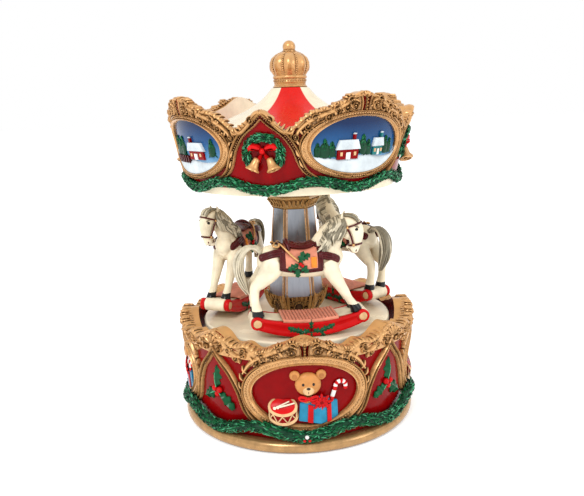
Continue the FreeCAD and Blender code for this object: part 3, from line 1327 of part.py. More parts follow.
def saddle_body(horse):
    """A blanket that lies over the horse's back."""
    blanket = torso(SADDLE_THICKNESS)
    span = block((SADDLE_BACK, -HORSE_RING_RADIUS, SADDLE_LOW),
                 (SADDLE_FRONT, HORSE_RING_RADIUS, SADDLE_HIGH))
    return blanket.common(span).cut(horse)


def on_platform(shape, index):
    """Places a rider on the platform, facing along the turn."""
    seated = moved(shape, Vector(0, -HORSE_RING_RADIUS, PLATFORM_TOP))
    return turned(seated, HORSE_TURN + 360.0 * index / HORSES)


def movement_nodes():
    return {
        "bottom_cover": make_bottom_cover(),
        "cover_screws": make_cover_screws(),
        "bedplate": make_bedplate(),
        "bedplate_screws": make_bedplate_screws(),
        "cylinder_bracket": make_cylinder_bracket(),
        "governor_frame": make_governor_frame(),
        "comb": make_comb(),
        "comb_screws": make_comb_screws(),
        "click_spring": make_click_spring(),
        "deck_bush": make_deck_bush(),
        "spring_barrel": make_spring_barrel(),
        "barrel_cap": make_barrel_cap(),
        "mainspring": make_mainspring(),
        "winding_arbor": make_winding_arbor(),
        "ratchet_wheel": make_ratchet_wheel(),
        "winding_key": make_winding_key(),
        "music_cylinder": make_music_cylinder(),
        "cylinder_arbor": make_cylinder_arbor(),
        "cylinder_gear": make_cylinder_gear(),
        "governor_wheel": make_governor_wheel(),
        "governor_worm": make_governor_worm(),
        "governor_fly": make_fly(),
        "centre_rod": make_centre_rod(),
    }


def base_nodes():
    cutter = crest_cutter(BASE_CREST_LINE, BASE_CREST_TOP, 0.0)
    plinth = make_plinth()
    shell = make_base_shell(cutter)
    green = make_base_garland(plinth)
    frame = front_oval_frame(green)
    return {
        "base_plinth": plinth,
        "base_shell": shell,
        "base_garland": green,
        "base_oval_frames": Part.makeCompound(around(frame, PANEL_PAIRS)),
        "base_point_frames": make_base_point_frames(green),
        "base_crest": make_base_crest(cutter),
        "base_toys": make_base_toys(frame),
        "base_holly": make_base_holly(),
        "cover_ledge": make_cover_ledge(),
    }


def carousel_nodes():
    return {
        "platform": make_platform(),
        "column_collar": make_column_collar(),
        "column_core": make_column_core(),
        "column_ribs": make_column_ribs(),
        "mirror_panes": make_mirror_panes(),
        "column_capital": make_column_capital(),
        "canopy_ceiling": make_canopy_ceiling(),
        "roof": make_roof(),
        "crown_finial": make_crown_finial(),
    }


def canopy_nodes():
    """The canopy's wall and its ornaments, with a pointed panel near the front."""
    cutter = crest_cutter(CANOPY_CREST_LINE, CANOPY_CREST_TOP, HALF_PANEL_STEP)
    green = make_canopy_garland()
    bow = bow_parts()
    bells = bell_pair(bow)
    nodes = {
        "canopy_shell": make_canopy_shell(cutter),
        "canopy_garland": green,
        "canopy_oval_frames": make_canopy_oval_frames(green),
        "canopy_point_frames": make_canopy_point_frames(green),
        "canopy_crest": make_canopy_crest(cutter),
        "scene_panels": make_scene_panels(),
        "canopy_bows": around_canopy(bow),
        "canopy_bells": around_canopy(bells),
        "canopy_wreaths": around_canopy(wreath_arch(bow, bells)),
    }
    return {name: turned(shape, CANOPY_TURN) for name, shape in nodes.items()}


def rider_nodes():
    rocker = rocker_body()
    horse = horse_body().cut(rocker)
    saddle = saddle_body(horse)
    nodes = {}
    for index in range(HORSES):
        nodes["rocker_%d" % (index + 1)] = on_platform(rocker, index)
        nodes["horse_%d" % (index + 1)] = on_platform(horse, index)
        nodes["saddle_%d" % (index + 1)] = on_platform(saddle, index)
    return nodes


def main():
    os.makedirs("parts", exist_ok=True)
    nodes = {}
    nodes.update(base_nodes())
    nodes.update(movement_nodes())
    nodes.update(carousel_nodes())
    nodes.update(canopy_nodes())
    nodes.update(rider_nodes())
    for name, shape in nodes.items():
        shape.exportStep("parts/%s.step" % name)
        print(name, len(shape.Solids), round(shape.Volume, 2), shape.isValid())


main()
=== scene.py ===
import bmesh
import bpy
import math
import numpy as np
import random
from mathutils import Matrix, Vector


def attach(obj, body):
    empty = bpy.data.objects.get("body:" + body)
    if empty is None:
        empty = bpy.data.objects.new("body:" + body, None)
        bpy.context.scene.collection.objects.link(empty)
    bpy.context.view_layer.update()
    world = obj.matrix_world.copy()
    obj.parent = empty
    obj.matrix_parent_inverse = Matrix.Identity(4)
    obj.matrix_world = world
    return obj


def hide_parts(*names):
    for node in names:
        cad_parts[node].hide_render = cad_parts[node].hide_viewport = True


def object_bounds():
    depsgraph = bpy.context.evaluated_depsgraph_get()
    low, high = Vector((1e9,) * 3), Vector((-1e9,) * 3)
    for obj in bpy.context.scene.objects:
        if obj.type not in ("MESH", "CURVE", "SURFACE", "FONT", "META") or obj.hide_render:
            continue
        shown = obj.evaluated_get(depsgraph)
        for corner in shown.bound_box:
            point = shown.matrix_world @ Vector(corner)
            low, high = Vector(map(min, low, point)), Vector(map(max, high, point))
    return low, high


# Looks of the carousel music box. Shapes are written in millimetres and turned into metres
# when a piece is finished. Angles are degrees from the front (-Y), counted towards +X.

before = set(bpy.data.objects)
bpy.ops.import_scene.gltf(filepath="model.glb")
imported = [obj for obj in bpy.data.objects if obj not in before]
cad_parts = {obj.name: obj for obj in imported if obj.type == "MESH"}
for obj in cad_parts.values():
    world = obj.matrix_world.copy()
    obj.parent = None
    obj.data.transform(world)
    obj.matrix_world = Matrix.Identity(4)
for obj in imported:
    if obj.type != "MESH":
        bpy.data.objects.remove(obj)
cad_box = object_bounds()

MM = 0.001
PANELS = 4
PANEL_STEP = 360.0 / PANELS
BASE_PANEL_ANGLE = 0.0
CANOPY_PANEL_ANGLE = 29.3
HORSES = 3
HORSE_TURN = 6.3
HORSE_RING_RADIUS = 38.0
PLATFORM_TOP = 56.2
COLUMN_TURN = 33.5
COLUMN_SIDES = 6
COLUMN_FOOT_RADIUS = 16.3
COLUMN_TOP_RADIUS = 11.9
COLLAR_TOP = 69.0
COLUMN_TOP = 118.5
CAPITAL_TOP = 126.0
CROWN_FOOT = 184.5
CROWN_BAND = 6.6
CROWN_LOBES = 8
CROWN_TURN = -2.7


def polar(radius, angle, height):
    """A point from its distance to the axis, its angle and its height."""
    turn = math.radians(angle)
    return np.array((radius * math.sin(turn), -radius * math.cos(turn), height))


class Wall:
    """A leaning wall. A place on it is an arc from a panel's middle and a height, in mm."""

    arc_radius = 64.0

    def __init__(self, foot, foot_radius, lean, panel_angle):
        self.foot = foot
        self.foot_radius = foot_radius
        self.lean = lean
        self.panel_angle = panel_angle

    def radius(self, height):
        return self.foot_radius + self.lean * (height - self.foot)

    def point(self, arc, height, rise=0.0):
        angle = self.panel_angle + math.degrees(arc / self.arc_radius)
        return polar(self.radius(height) + rise, angle, height)

    def outward(self, arc):
        return polar(1.0, self.panel_angle + math.degrees(arc / self.arc_radius), 0.0)

    def along(self, arc):
        return polar(1.0, self.panel_angle + 90.0 + math.degrees(arc / self.arc_radius), 0.0)


BASE_WALL = Wall(6.5, 61.5, 0.063, BASE_PANEL_ANGLE)
CANOPY_RIM = 132.0
CANOPY_RIM_RADIUS = 56.5
CANOPY_LEAN = 0.2
CANOPY_WALL = Wall(CANOPY_RIM, CANOPY_RIM_RADIUS, CANOPY_LEAN, CANOPY_PANEL_ANGLE)
GARLAND_WALL = Wall(CANOPY_RIM, CANOPY_RIM_RADIUS, CANOPY_LEAN, CANOPY_PANEL_ANGLE - PANEL_STEP / 2)
BASE_OVAL_MIDDLE = 32.0
CANOPY_OVAL_MIDDLE = 155.8
CANOPY_PICTURE = (27.6, 13.6)
POINT_MIDDLE = math.radians(PANEL_STEP / 2) * Wall.arc_radius
UP = np.array((0.0, 0.0, 1.0))


# Materials


def shade(colour, factor):
    """A colour made darker or lighter."""
    return tuple(min(1.0, channel * factor) for channel in colour)


def opaque(paint):
    """A colour with full cover. An output of a node stays as it is."""
    return (*paint, 1.0) if isinstance(paint, tuple) else paint


class Paint:
    """A material under construction. What goes into a node is a value or another node's output."""

    def __init__(self, name):
        self.material = bpy.data.materials.new(name)
        self.material.use_nodes = True
        self.nodes = self.material.node_tree.nodes
        self.shader = self.nodes["Principled BSDF"]
        coordinates = self.nodes.new("ShaderNodeTexCoord").outputs
        self.spot, self.normal = coordinates["Object"], coordinates["Normal"]

    def feed(self, node, socket, source):
        if isinstance(source, bpy.types.NodeSocket):
            self.material.node_tree.links.new(source, node.inputs[socket])
        else:
            node.inputs[socket].default_value = source

    def node(self, kind, result, sources, **settings):
        """A node with its settings and what goes into it, by the output that is used."""
        node = self.nodes.new("ShaderNode" + kind)
        for setting, value in settings.items():
            setattr(node, setting, value)
        for socket, source in sources.items():
            self.feed(node, socket, source)
        return node.outputs[result]

    def math(self, operation, *values):
        return self.node("Math", "Value", dict(enumerate(values)), operation=operation)

    def vector(self, operation, result, *values):
        return self.node("VectorMath", result, dict(enumerate(values)), operation=operation)

    def part(self, vector, axis):
        return self.node("SeparateXYZ", axis, {"Vector": vector})

    def noise(self, scale, detail=4.0):
        return self.node("TexNoise", "Fac", {"Vector": self.spot, "Scale": scale, "Detail": detail})

    def share(self, value, low, high):
        """A share that runs from 0 to 1 as a value goes from low to high."""
        return self.node("MapRange", "Result", {"Value": value, "From Min": low, "From Max": high})

    def ramp(self, value, *stops):
        """A colour that runs through stops of (place, colour) as a value grows."""
        ramp = self.nodes.new("ShaderNodeValToRGB")
        elements = ramp.color_ramp.elements
        while len(elements) < len(stops):
            elements.new(0.5)
        for element, (place_on, colour) in zip(elements, stops):
            element.position = place_on
            element.color = opaque(colour)
        self.feed(ramp, "Fac", value)
        return ramp.outputs["Color"]

    def mix(self, share, below, above, blend="MIX"):
        sources = {"Factor": share, "A": opaque(below), "B": opaque(above)}
        return self.node("Mix", "Result", sources, data_type="RGBA", blend_type=blend)

    def wash_and_shade_hollows(self, colour, wash_and_shade_colour, reach):
        """Darkens the hollows of a surface, found by ambient occlusion: painted shade, which on the gold
        also stands for an antique wash.
        """
        hollow = self.node("AmbientOcclusion", "AO", {"Distance": reach * MM}, samples=6)
        return self.mix(self.ramp(hollow, (0.25, (1, 1, 1)), (0.85, (0, 0, 0))), colour, wash_and_shade_colour)

    def bump(self, height, strength, depth):
        sources = {"Strength": strength, "Distance": depth * MM, "Height": height}
        self.feed(self.shader, "Normal", self.node("Bump", "Normal", sources))

    def surface(self, **sources):
        """Feeds the shader, with the words of a socket's name joined by underscores."""
        for socket, source in sources.items():
            self.feed(self.shader, socket.replace("_", " "), source)
        return self.material

    def finish(self, colour, grain, low, high, gloss=0.5, metal=0.0):
        """Sets the colour, the range of the roughness, the gloss and how metallic the surface is."""
        roughness = self.node("MapRange", "Result", {"Value": grain, "To Min": low, "To Max": high})
        return self.surface(Base_Color=colour, Roughness=roughness, Specular_IOR_Level=gloss,
                            Metallic=metal)


def painted(name, colour, wash_and_shade_colour, roughness, metal=0.0, gloss=0.25, grain=420.0, bump=0.12, reach=2.2):
    """Hand-painted resin: brushed colour, a dark colour in the hollows that is painted shade (on the gold
    also an antique wash), and fine tooth.
    """
    paint = Paint(name)
    brush = paint.noise(grain)
    brushed = paint.ramp(brush, (0.3, shade(colour, 0.8)), (0.55, colour), (0.75, shade(colour, 1.14)))
    paint.bump(paint.noise(grain * 3.0, 2.0), bump, 0.3)
    wash_and_shade_hollows = paint.wash_and_shade_hollows(brushed, wash_and_shade_colour, reach)
    return paint.finish(wash_and_shade_hollows, brush, roughness - 0.08, roughness + 0.1, gloss, metal)


def shell_paint(name, outer, inner, edge, rim, rim_height, edge_height):
    """Paint of a hollow wall: its outside, its inside, its upper edge, and a rim below a height."""
    paint = Paint(name)
    spoke = paint.vector("NORMALIZE", "Vector", paint.vector("MULTIPLY", "Vector", paint.spot, (1, 1, 0)))
    facing = paint.vector("DOT_PRODUCT", "Value", spoke, paint.normal)
    height = paint.part(paint.spot, "Z")
    above_rim = paint.share(height, (rim_height - 0.2) * MM, (rim_height + 0.2) * MM)
    around = paint.mix(paint.share(facing, 0.2, 0.4), inner, paint.mix(above_rim, rim, outer))
    turned_up = paint.share(paint.part(paint.normal, "Z"), 0.45, 0.6)
    near_edge = paint.share(height, edge_height * MM, (edge_height + 0.4) * MM)
    whole = paint.mix(paint.math("MULTIPLY", turned_up, near_edge), around, edge)
    brush = paint.noise(160.0)
    mottle = paint.ramp(brush, (0.3, (0.82, 0.82, 0.82)), (0.7, (1, 1, 1)))
    return paint.finish(paint.mix(1.0, whole, mottle, "MULTIPLY"), brush, 0.14, 0.28, 0.09)


def striped_roof(name, red, cream, pairs, middle):
    """A tent roof whose gores change colour by their angle about the axis."""
    paint = Paint(name)
    front = paint.math("MULTIPLY", paint.part(paint.spot, "Y"), -1.0)
    angle = paint.math("ARCTAN2", paint.part(paint.spot, "X"), front)
    wave = paint.math("COSINE", paint.math("MULTIPLY_ADD", angle, pairs, -pairs * math.radians(middle)))
    brush = paint.noise(140.0)
    gores = [paint.ramp(brush, (0.3, shade(colour, 0.86)), (0.65, colour)) for colour in (cream, red)]
    return paint.finish(paint.mix(paint.share(wave, -0.05, 0.05), *gores), brush, 0.2, 0.34, 0.2)


def sky_paint(name, low, high):
    """A painted evening sky that deepens upwards, with soft cloud strokes."""
    paint = Paint(name)
    cloud = paint.noise(70.0)
    drift = paint.math("MULTIPLY_ADD", cloud, 0.006, paint.part(paint.spot, "Z"))
    sky = paint.ramp(paint.share(drift, low * MM, high * MM), (0.0, (0.36, 0.50, 0.62)),
                     (0.35, (0.075, 0.23, 0.42)), (0.65, (0.010, 0.07, 0.20)), (1.0, (0.004, 0.02, 0.08)))
    return paint.finish(sky, cloud, 0.12, 0.24, 0.2)


def metal(name, colour, roughness, stretch):
    """Bare metal with fine turning marks along Z."""
    paint = Paint(name)
    stretched = paint.node("Mapping", "Vector", {"Vector": paint.spot, "Scale": (1.0, 1.0, stretch)})
    marks = paint.node("TexNoise", "Fac", {"Vector": stretched, "Scale": 500.0})
    paint.bump(marks, 0.05, 0.1)
    tint = paint.ramp(marks, (0.3, shade(colour, 0.8)), (0.7, colour))
    return paint.finish(tint, marks, roughness - 0.06, roughness + 0.1, metal=1.0)


# Brown for the hollows: painted shade, and on the gold an antique wash too
BROWN_WASH_AND_SHADE = (0.09, 0.036, 0.009)
GOLD = (0.64, 0.345, 0.13)
CREAM = (0.84, 0.74, 0.55)
RED = (0.23, 0.001, 0.002)
# A darker red for the inside of the base wall: painted shade
SHADED_RED = (0.11, 0.001, 0.002)
ROOF_RED = (0.66, 0.010, 0.006)
# Name, colour, colour of the wash and painted shade in the hollows, roughness, metal, gloss, grain, and for
# some the tooth and the reach of that darkening
PAINTS = {
    "gold": ("gold_paint", GOLD, BROWN_WASH_AND_SHADE, 0.27, 0.35, 0.5, 380.0, 0.12, 3.0),
    "gold_dark": ("gold_recess", (0.34, 0.16, 0.045), (0.05, 0.02, 0.006), 0.42, 0.3, 0.2, 300.0),
    # Darker gold for the patch of painted shade on the crown's lobes
    "gold_soft": ("gold_shaded", (0.50, 0.235, 0.07), BROWN_WASH_AND_SHADE, 0.3, 0.35, 0.4, 300.0),
    "gold_antique": ("gold_antique", (0.47, 0.26, 0.085), (0.04, 0.016, 0.004), 0.28, 0.4, 0.4, 300.0),
    "bronze": ("foot_bronze", (0.45, 0.255, 0.10), (0.08, 0.035, 0.01), 0.24, 0.45, 0.5, 240.0),
    "red": ("red_enamel", RED, (0.06, 0.0, 0.001), 0.16, 0.0, 0.09, 90.0, 0.02),
    "red_bright": ("bright_red_enamel", (0.56, 0.006, 0.007), (0.16, 0.002, 0.002), 0.2, 0.0, 0.12,
                   130.0, 0.03),
    "maroon": ("maroon_leather_paint", (0.075, 0.004, 0.005), (0.012, 0.0, 0.0), 0.26, 0.0, 0.25, 260.0),
    "cream": ("cream_enamel", CREAM, (0.42, 0.28, 0.13), 0.24, 0.0, 0.25, 60.0, 0.03, 3.0),
    "ivory": ("ivory_enamel", (0.82, 0.72, 0.53), (0.34, 0.22, 0.10), 0.3, 0.0, 0.25, 150.0, 0.05, 3.5),
    "mane": ("grey_mane", (0.24, 0.21, 0.15), (0.05, 0.04, 0.02), 0.4, 0.0, 0.15, 520.0),
    "mane_light": ("pale_mane", (0.62, 0.55, 0.41), (0.17, 0.13, 0.07), 0.4, 0.0, 0.15, 520.0),
    "holly": ("holly_green", (0.006, 0.085, 0.030), (0.0, 0.02, 0.007), 0.2, 0.0, 0.16, 500.0),
    "green": ("garland_green", (0.008, 0.14, 0.045), (0.0, 0.02, 0.007), 0.28, 0.0, 0.2, 500.0),
    "green_dark": ("garland_shadow_green", (0.003, 0.045, 0.018), (0.0, 0.01, 0.004), 0.34, 0.0, 0.2,
                   500.0),
    "green_light": ("garland_light_green", (0.06, 0.36, 0.17), (0.005, 0.06, 0.02), 0.24, 0.0, 0.35,
                    500.0),
    "snow": ("painted_snow", (0.60, 0.66, 0.69), (0.30, 0.36, 0.43), 0.36, 0.0, 0.2, 160.0),
    "teal": ("teal_wall", (0.01, 0.17, 0.17), (0.0, 0.03, 0.035), 0.3, 0.0, 0.2, 400.0),
    "tan": ("bear_tan", (0.56, 0.24, 0.07), (0.2, 0.065, 0.012), 0.34, 0.0, 0.2, 300.0),
    "tan_dark": ("dark_tan", (0.42, 0.16, 0.045), (0.16, 0.05, 0.01), 0.34, 0.0, 0.2, 300.0),
    "tan_light": ("pale_tan", (0.70, 0.44, 0.22), (0.28, 0.13, 0.04), 0.34, 0.0, 0.2, 300.0),
    "blue": ("gift_blue", (0.012, 0.22, 0.38), (0.0, 0.04, 0.1), 0.22, 0.0, 0.25, 260.0),
    "salmon": ("salmon_mat", (0.68, 0.25, 0.16), (0.3, 0.07, 0.04), 0.4, 0.0, 0.15, 420.0),
    "orange": ("orange_cloth", (0.78, 0.24, 0.03), (0.3, 0.06, 0.0), 0.36, 0.0, 0.15, 420.0),
    "black": ("black_enamel", (0.006, 0.006, 0.007), (0.0, 0.0, 0.0), 0.16, 0.0, 0.3, 300.0),
    "white": ("white_enamel", (0.80, 0.78, 0.74), (0.4, 0.36, 0.3), 0.22, 0.0, 0.3, 200.0),
    "black_plastic": ("moulded_black", (0.025, 0.025, 0.027), (0.0, 0.0, 0.0), 0.45, 0.0, 0.2, 800.0,
                      0.2),
    "dark_resin": ("bare_resin", (0.08, 0.038, 0.016), (0.015, 0.007, 0.003), 0.5, 0.0, 0.2, 260.0, 0.2),
}
# Name, colour, roughness and how far the turning marks are stretched
METALS = {
    "steel": ("turned_steel", (0.62, 0.62, 0.64), 0.26, 14.0),
    "cast_metal": ("cast_metal", (0.42, 0.42, 0.43), 0.5, 1.0),
    "brass": ("turned_brass", (0.72, 0.5, 0.19), 0.24, 14.0),
    "mirror": ("silvered_glass", (0.33, 0.35, 0.39), 0.3, 0.2),
}
MATERIALS = {key: painted(*row) for key, row in PAINTS.items()}
MATERIALS.update((key, metal(*row)) for key, row in METALS.items())
# The darker red inside the base wall is painted shade.
MATERIALS["base_wall"] = shell_paint("base_wall_paint", RED, SHADED_RED, GOLD, RED, 0.0, 52.5)
MATERIALS["canopy_wall"] = shell_paint("canopy_wall_paint", RED, CREAM, GOLD, CREAM, 136.0, 158.0)
MATERIALS["roof"] = striped_roof("tent_roof_paint", ROOF_RED, CREAM, 3, -1.0)
MATERIALS["sky"] = sky_paint("evening_sky", 145.0, 170.0)


# Mesh tools

SHARP_ANGLE = 48.0
SKIN_VOXEL = 0.42
SKIN_PASSES = 3
NEEDLE_WIDTH = 0.48
PLATE_SINK = 0.4
FACE_SINK = 0.6


class Sculpt:
    """A piece under construction: points in mm, faces, and a paint for every face."""

    def __init__(self):
        self.points = []
        self.faces = []
        self.paints = []

    def add(self, points, faces, paint):
        start = len(self.points)
        self.points.extend(tuple(point) for point in points)
        self.faces.extend(tuple(start + index for index in face) for face in faces)
        self.paints.extend([paint] * len(faces))

    def around(self, count):
        """Repeats what was added about the upright axis."""
        points = np.array(self.points)
        faces = list(self.faces)
        paints = list(self.paints)
        for copy in range(1, count):
            turn = 2 * math.pi * copy / count
            cos, sin = math.cos(turn), math.sin(turn)
            spun = points @ np.array(((cos, sin, 0), (-sin, cos, 0), (0, 0, 1)))
            start = len(self.points)
            self.points.extend(map(tuple, spun))
            self.faces.extend(tuple(start + index for index in face) for face in faces)
            self.paints.extend(paints)

    def mesh(self, name):
        mesh = bpy.data.meshes.new(name)
        mesh.from_pydata([(x * MM, y * MM, z * MM) for x, y, z in self.points], [], self.faces)
        names = sorted(set(self.paints))
        for paint in names:
            mesh.materials.append(MATERIALS[paint])
        mesh.polygons.foreach_set("material_index", [names.index(paint) for paint in self.paints])
        tidy = bmesh.new()
        tidy.from_mesh(mesh)
        bmesh.ops.recalc_face_normals(tidy, faces=tidy.faces)
        tidy.to_mesh(mesh)
        tidy.free()
        mesh.shade_smooth()
        mesh.set_sharp_from_angle(angle=math.radians(SHARP_ANGLE))
        return mesh

    def finish(self, name, body, slot, nodes=()):
        """Makes the piece inside the object's box, to ride on a body and stand for the CAD nodes named."""
        low, high = (np.array(corner) / MM for corner in cad_box)
        self.points = [tuple(point) for point in np.clip(np.array(self.points), low, high)]
        return place(self.mesh(name), name, body, nodes)


def place(mesh, name, body, nodes=(), matrix=None):
    """Puts a mesh in the scene, to ride on a body and stand for the CAD nodes named."""
    piece = bpy.data.objects.new(name, mesh)
    bpy.context.scene.collection.objects.link(piece)
    if matrix is not None:
        piece.matrix_world = matrix
    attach(piece, body)
    if nodes:
        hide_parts(*nodes)
    return piece


def smooth_path(stations, count):
    """Points on a smooth curve through the stations, with all their columns."""
    stations = np.array(stations, float)
    place_on = np.linspace(0, len(stations) - 1, count)
    index = np.clip(place_on.astype(int), 0, len(stations) - 2)
    share = (place_on - index)[:, None]
    padded = np.vstack((2 * stations[0] - stations[1], stations, 2 * stations[-1] - stations[-2]))
    a, b, c, d = (padded[index + offset] for offset in range(4))
    return 0.5 * (2 * b + (c - a) * share + (2 * a - 5 * b + 4 * c - d) * share ** 2
                  + (3 * b - a - 3 * c + d) * share ** 3)


def unit(vectors):
    """Vectors brought to a length of one."""
    return vectors / np.maximum(np.linalg.norm(vectors, axis=-1, keepdims=True), 1e-9)


def loft(sculpt, rings, paint, closed=False):
    """A skin over rings of points, capped at both ends unless it runs back to its start."""
    count, sides = len(rings), len(rings[0])
    faces = []
    for ring in range(count if closed else count - 1):
        after = (ring + 1) % count
        for side in range(sides):
            beside = (side + 1) % sides
            faces.append((ring * sides + side, ring * sides + beside, after * sides + beside,
                          after * sides + side))
    if not closed:
        faces.append(tuple(range(sides)))
        faces.append(tuple((count - 1) * sides + side for side in range(sides)))
    sculpt.add([point for ring in rings for point in ring], faces, paint)


def sweep(sculpt, centres, across, outward, widths, rises, paint, sides=8, closed=False):
    """Ovals lofted along a path, each with its half width and its rise."""
    phases = 2 * np.pi * np.arange(sides) / sides
    rings = (centres[:, None, :] + across[:, None, :] * (widths[:, None] * np.cos(phases))[..., None]
             + outward[:, None, :] * (rises[:, None] * np.sin(phases))[..., None])
    loft(sculpt, rings, paint, closed)


def stroke(sculpt, wall, stations, paint, count=16, sides=8, closed=False, mirror=False):
    """A carved stroke on a wall, through stations (arc, height, half width, rise)."""
    path = np.array(stations, float) if closed else smooth_path(stations, count)
    for side in ((1, -1) if mirror else (1,)):
        centres = np.array([wall.point(side * arc, height) for arc, height, _, _ in path])
        outward = np.array([wall.outward(side * arc) for arc, _, _, _ in path])
        tangents = np.gradient(centres, axis=0)
        if closed:
            tangents = np.roll(centres, -1, axis=0) - np.roll(centres, 1, axis=0)
        across = unit(np.cross(unit(tangents), outward))
        sweep(sculpt, centres, across, outward, path[:, 2], path[:, 3], paint, sides, closed)


def tube(sculpt, stations, paint, count=16, sides=8, hint=(0.0, 1.0, 0.0)):
    """A free tube through stations (x, y, z, half width, half depth), its width lying along the hint."""
    path = smooth_path(stations, count)
    centres = path[:, :3]
    tangents = unit(np.gradient(centres, axis=0))
    depth = unit(np.cross(tangents, np.array(hint)))
    width = unit(np.cross(depth, tangents))
    sweep(sculpt, centres, width, depth, path[:, 3], path[:, 4], paint, sides)


def blob(sculpt, centre, axes, paint, rings=8, sides=12):
    """An ellipsoid from its three half-axis vectors."""
    centre, (a, b, c) = np.array(centre), (np.array(axis, float) for axis in axes)
    points = [centre + c]
    for ring in range(1, rings):
        polar_angle = math.pi * ring / rings
        for side in range(sides):
            phase = 2 * math.pi * side / sides
            points.append(centre + math.sin(polar_angle) * (a * math.cos(phase) + b * math.sin(phase)) + c
                          * math.cos(polar_angle))
    points.append(centre - c)
    faces = []
    last = len(points) - 1
    for side in range(sides):
        beside = (side + 1) % sides
        faces.append((0, 1 + side, 1 + beside))
        faces.append((last, last - sides + beside, last - sides + side))
        for ring in range(rings - 2):
            start = 1 + ring * sides
            faces.append((start + side, start + sides + side, start + sides + beside, start + beside))
    sculpt.add(points, faces, paint)


def ball(sculpt, centre, sizes, paint, rings=8, sides=12):
    """An ellipsoid that lies along the axes, from its half sizes."""
    blob(sculpt, centre, np.diag(sizes), paint, rings, sides)


def wall_blob(sculpt, wall, arc, height, size, lift, paint, rings=8, sides=12, tilt=0.0):
    """An ellipsoid on a wall, with its half width, half height and rise."""
    lean = math.radians(tilt)
    along, up = wall.along(arc), UP
    side = (along * math.cos(lean) + up * math.sin(lean)) * size[0]
    rise = (up * math.cos(lean) - along * math.sin(lean)) * size[1]
    blob(sculpt, wall.point(arc, height, lift), (side, rise, wall.outward(arc) * size[2]), paint, rings,
         sides)


def lathe(sculpt, origin, axis, profile, paint, sides=24, wave=None):
    """A turned body from (radius, distance along the axis), with an optional wave in its radius."""
    axis = unit(np.array(axis, float))
    first = unit(np.cross(axis, (-1.0, 0.0, 0.0)))
    second = np.cross(axis, first)
    rings = []
    for radius, distance in profile:
        ring = []
        for side in range(sides):
            phase = 2 * math.pi * side / sides
            reach = radius * (wave(phase, distance) if wave else 1.0)
            spoke = first * math.cos(phase) + second * math.sin(phase)
            ring.append(np.array(origin) + axis * distance + reach * spoke)
        rings.append(ring)
    loft(sculpt, rings, paint)


def plate(sculpt, wall, outline, rise, paint, edge=0.3):
    """A flat relief with chamfered edges, cut to an outline of (arc, height)."""
    outline = np.array(outline, float)
    middle = outline.mean(axis=0)
    reach = np.linalg.norm(outline - middle, axis=1, keepdims=True)
    inner = middle + (outline - middle) * np.maximum(1 - edge / np.maximum(reach, edge), 0.2)
    levels = ((outline, -PLATE_SINK), (outline, rise - edge), (inner, rise))
    loft(sculpt, [[wall.point(*spot, lift) for spot in line] for line, lift in levels], paint)


def rectangle(sculpt, wall, middle, half, low, high, rise, paint, edge=0.3):
    """An upright plate, from its middle, its half width and its two heights."""
    plate(sculpt, wall,
          ((middle - half, low), (middle + half, low), (middle + half, high), (middle - half, high)), rise,
          paint, edge)


def sheet(sculpt, upper, lower, rows, columns, paint):
    """A thin closed sheet from two grids of points."""
    total = rows * columns
    faces = []
    for row in range(rows - 1):
        for column in range(columns - 1):
            corner = row * columns + column
            quad = (corner, corner + 1, corner + columns + 1, corner + columns)
            faces.append(quad)
            faces.append(tuple(total + index for index in reversed(quad)))
    rim = [row * columns for row in range(rows)]
    rim += [(rows - 1) * columns + column for column in range(1, columns)]
    rim += [row * columns + columns - 1 for row in range(rows - 2, -1, -1)]
    rim += list(range(columns - 2, 0, -1))
    for index, corner in enumerate(rim):
        beside = rim[(index + 1) % len(rim)]
        faces.append((corner, beside, total + beside, total + corner))
    sculpt.add(list(upper) + list(lower), faces, paint)


def curved_sheet(sculpt, spot, lifts, rows, columns, paint):
    """A thin closed sheet, from a place for each row, each share across (-1 to 1) and each lift."""
    across = [2 * column / (columns - 1) - 1 for column in range(columns)]
    sheet(sculpt, *([spot(row, share, lift) for row in range(rows) for share in across] for lift in lifts),
          rows, columns, paint)


def leaf(sculpt, root, along, across, normal, length, width, paint, spikes=3, dome=0.16):
    """A holly leaf with a toothed edge, a raised rib and a thin underside."""
    root, along = np.array(root), unit(np.array(along))
    across, normal = unit(np.array(across)), unit(np.array(normal))
    rows, columns = 15, (-1.0, -0.55, 0.0, 0.55, 1.0)
    upper, lower = [], []
    for row in range(rows):
        share = row / (rows - 1)
        half = width / 2 * math.sin(math.pi * min(max(share, 0.03), 0.97)) ** 0.6
        half *= 0.82 + 0.3 * math.cos(2 * math.pi * spikes * share + math.pi)
        for column in columns:
            height = dome * length * (0.5 + 0.5 * math.sin(math.pi * share)) * (1 - 0.75 * abs(column))
            height += 0.05 * length * (1 - abs(column)) ** 4
            spot = root + along * length * share + across * half * column
            upper.append(spot + normal * height)
            lower.append(spot - normal * 0.05 * length)
    sheet(sculpt, upper, lower, rows, len(columns), paint)


def wall_leaf(sculpt, wall, arc, height, tilt, length, width, lift, paint):
    """A holly leaf on a wall, tilted from upright."""
    lean = math.radians(tilt)
    side = wall.along(arc)
    along = side * math.sin(lean) + UP * math.cos(lean)
    across = side * math.cos(lean) - UP * math.sin(lean)
    leaf(sculpt, wall.point(arc, height, lift), along, across, wall.outward(arc), length, width, paint)


def needle(sculpt, root, tip, width, paint):
    """A slim leaf: a four-sided spindle."""
    axis = unit(tip - root)
    first = unit(np.cross(axis, (0.3, 0.2, 0.93)))
    second = np.cross(axis, first)
    belly = root + (tip - root) * 0.4
    points = [root, tip] + [belly + width * (first * math.cos(turn) + second * math.sin(turn))
                            for turn in (0, math.pi / 2, math.pi, 3 * math.pi / 2)]
    faces = []
    for side in range(4):
        beside = 2 + (side + 1) % 4
        faces.append((0, 2 + side, beside))
        faces.append((1, beside, 2 + side))
    sculpt.add(points, faces, paint)


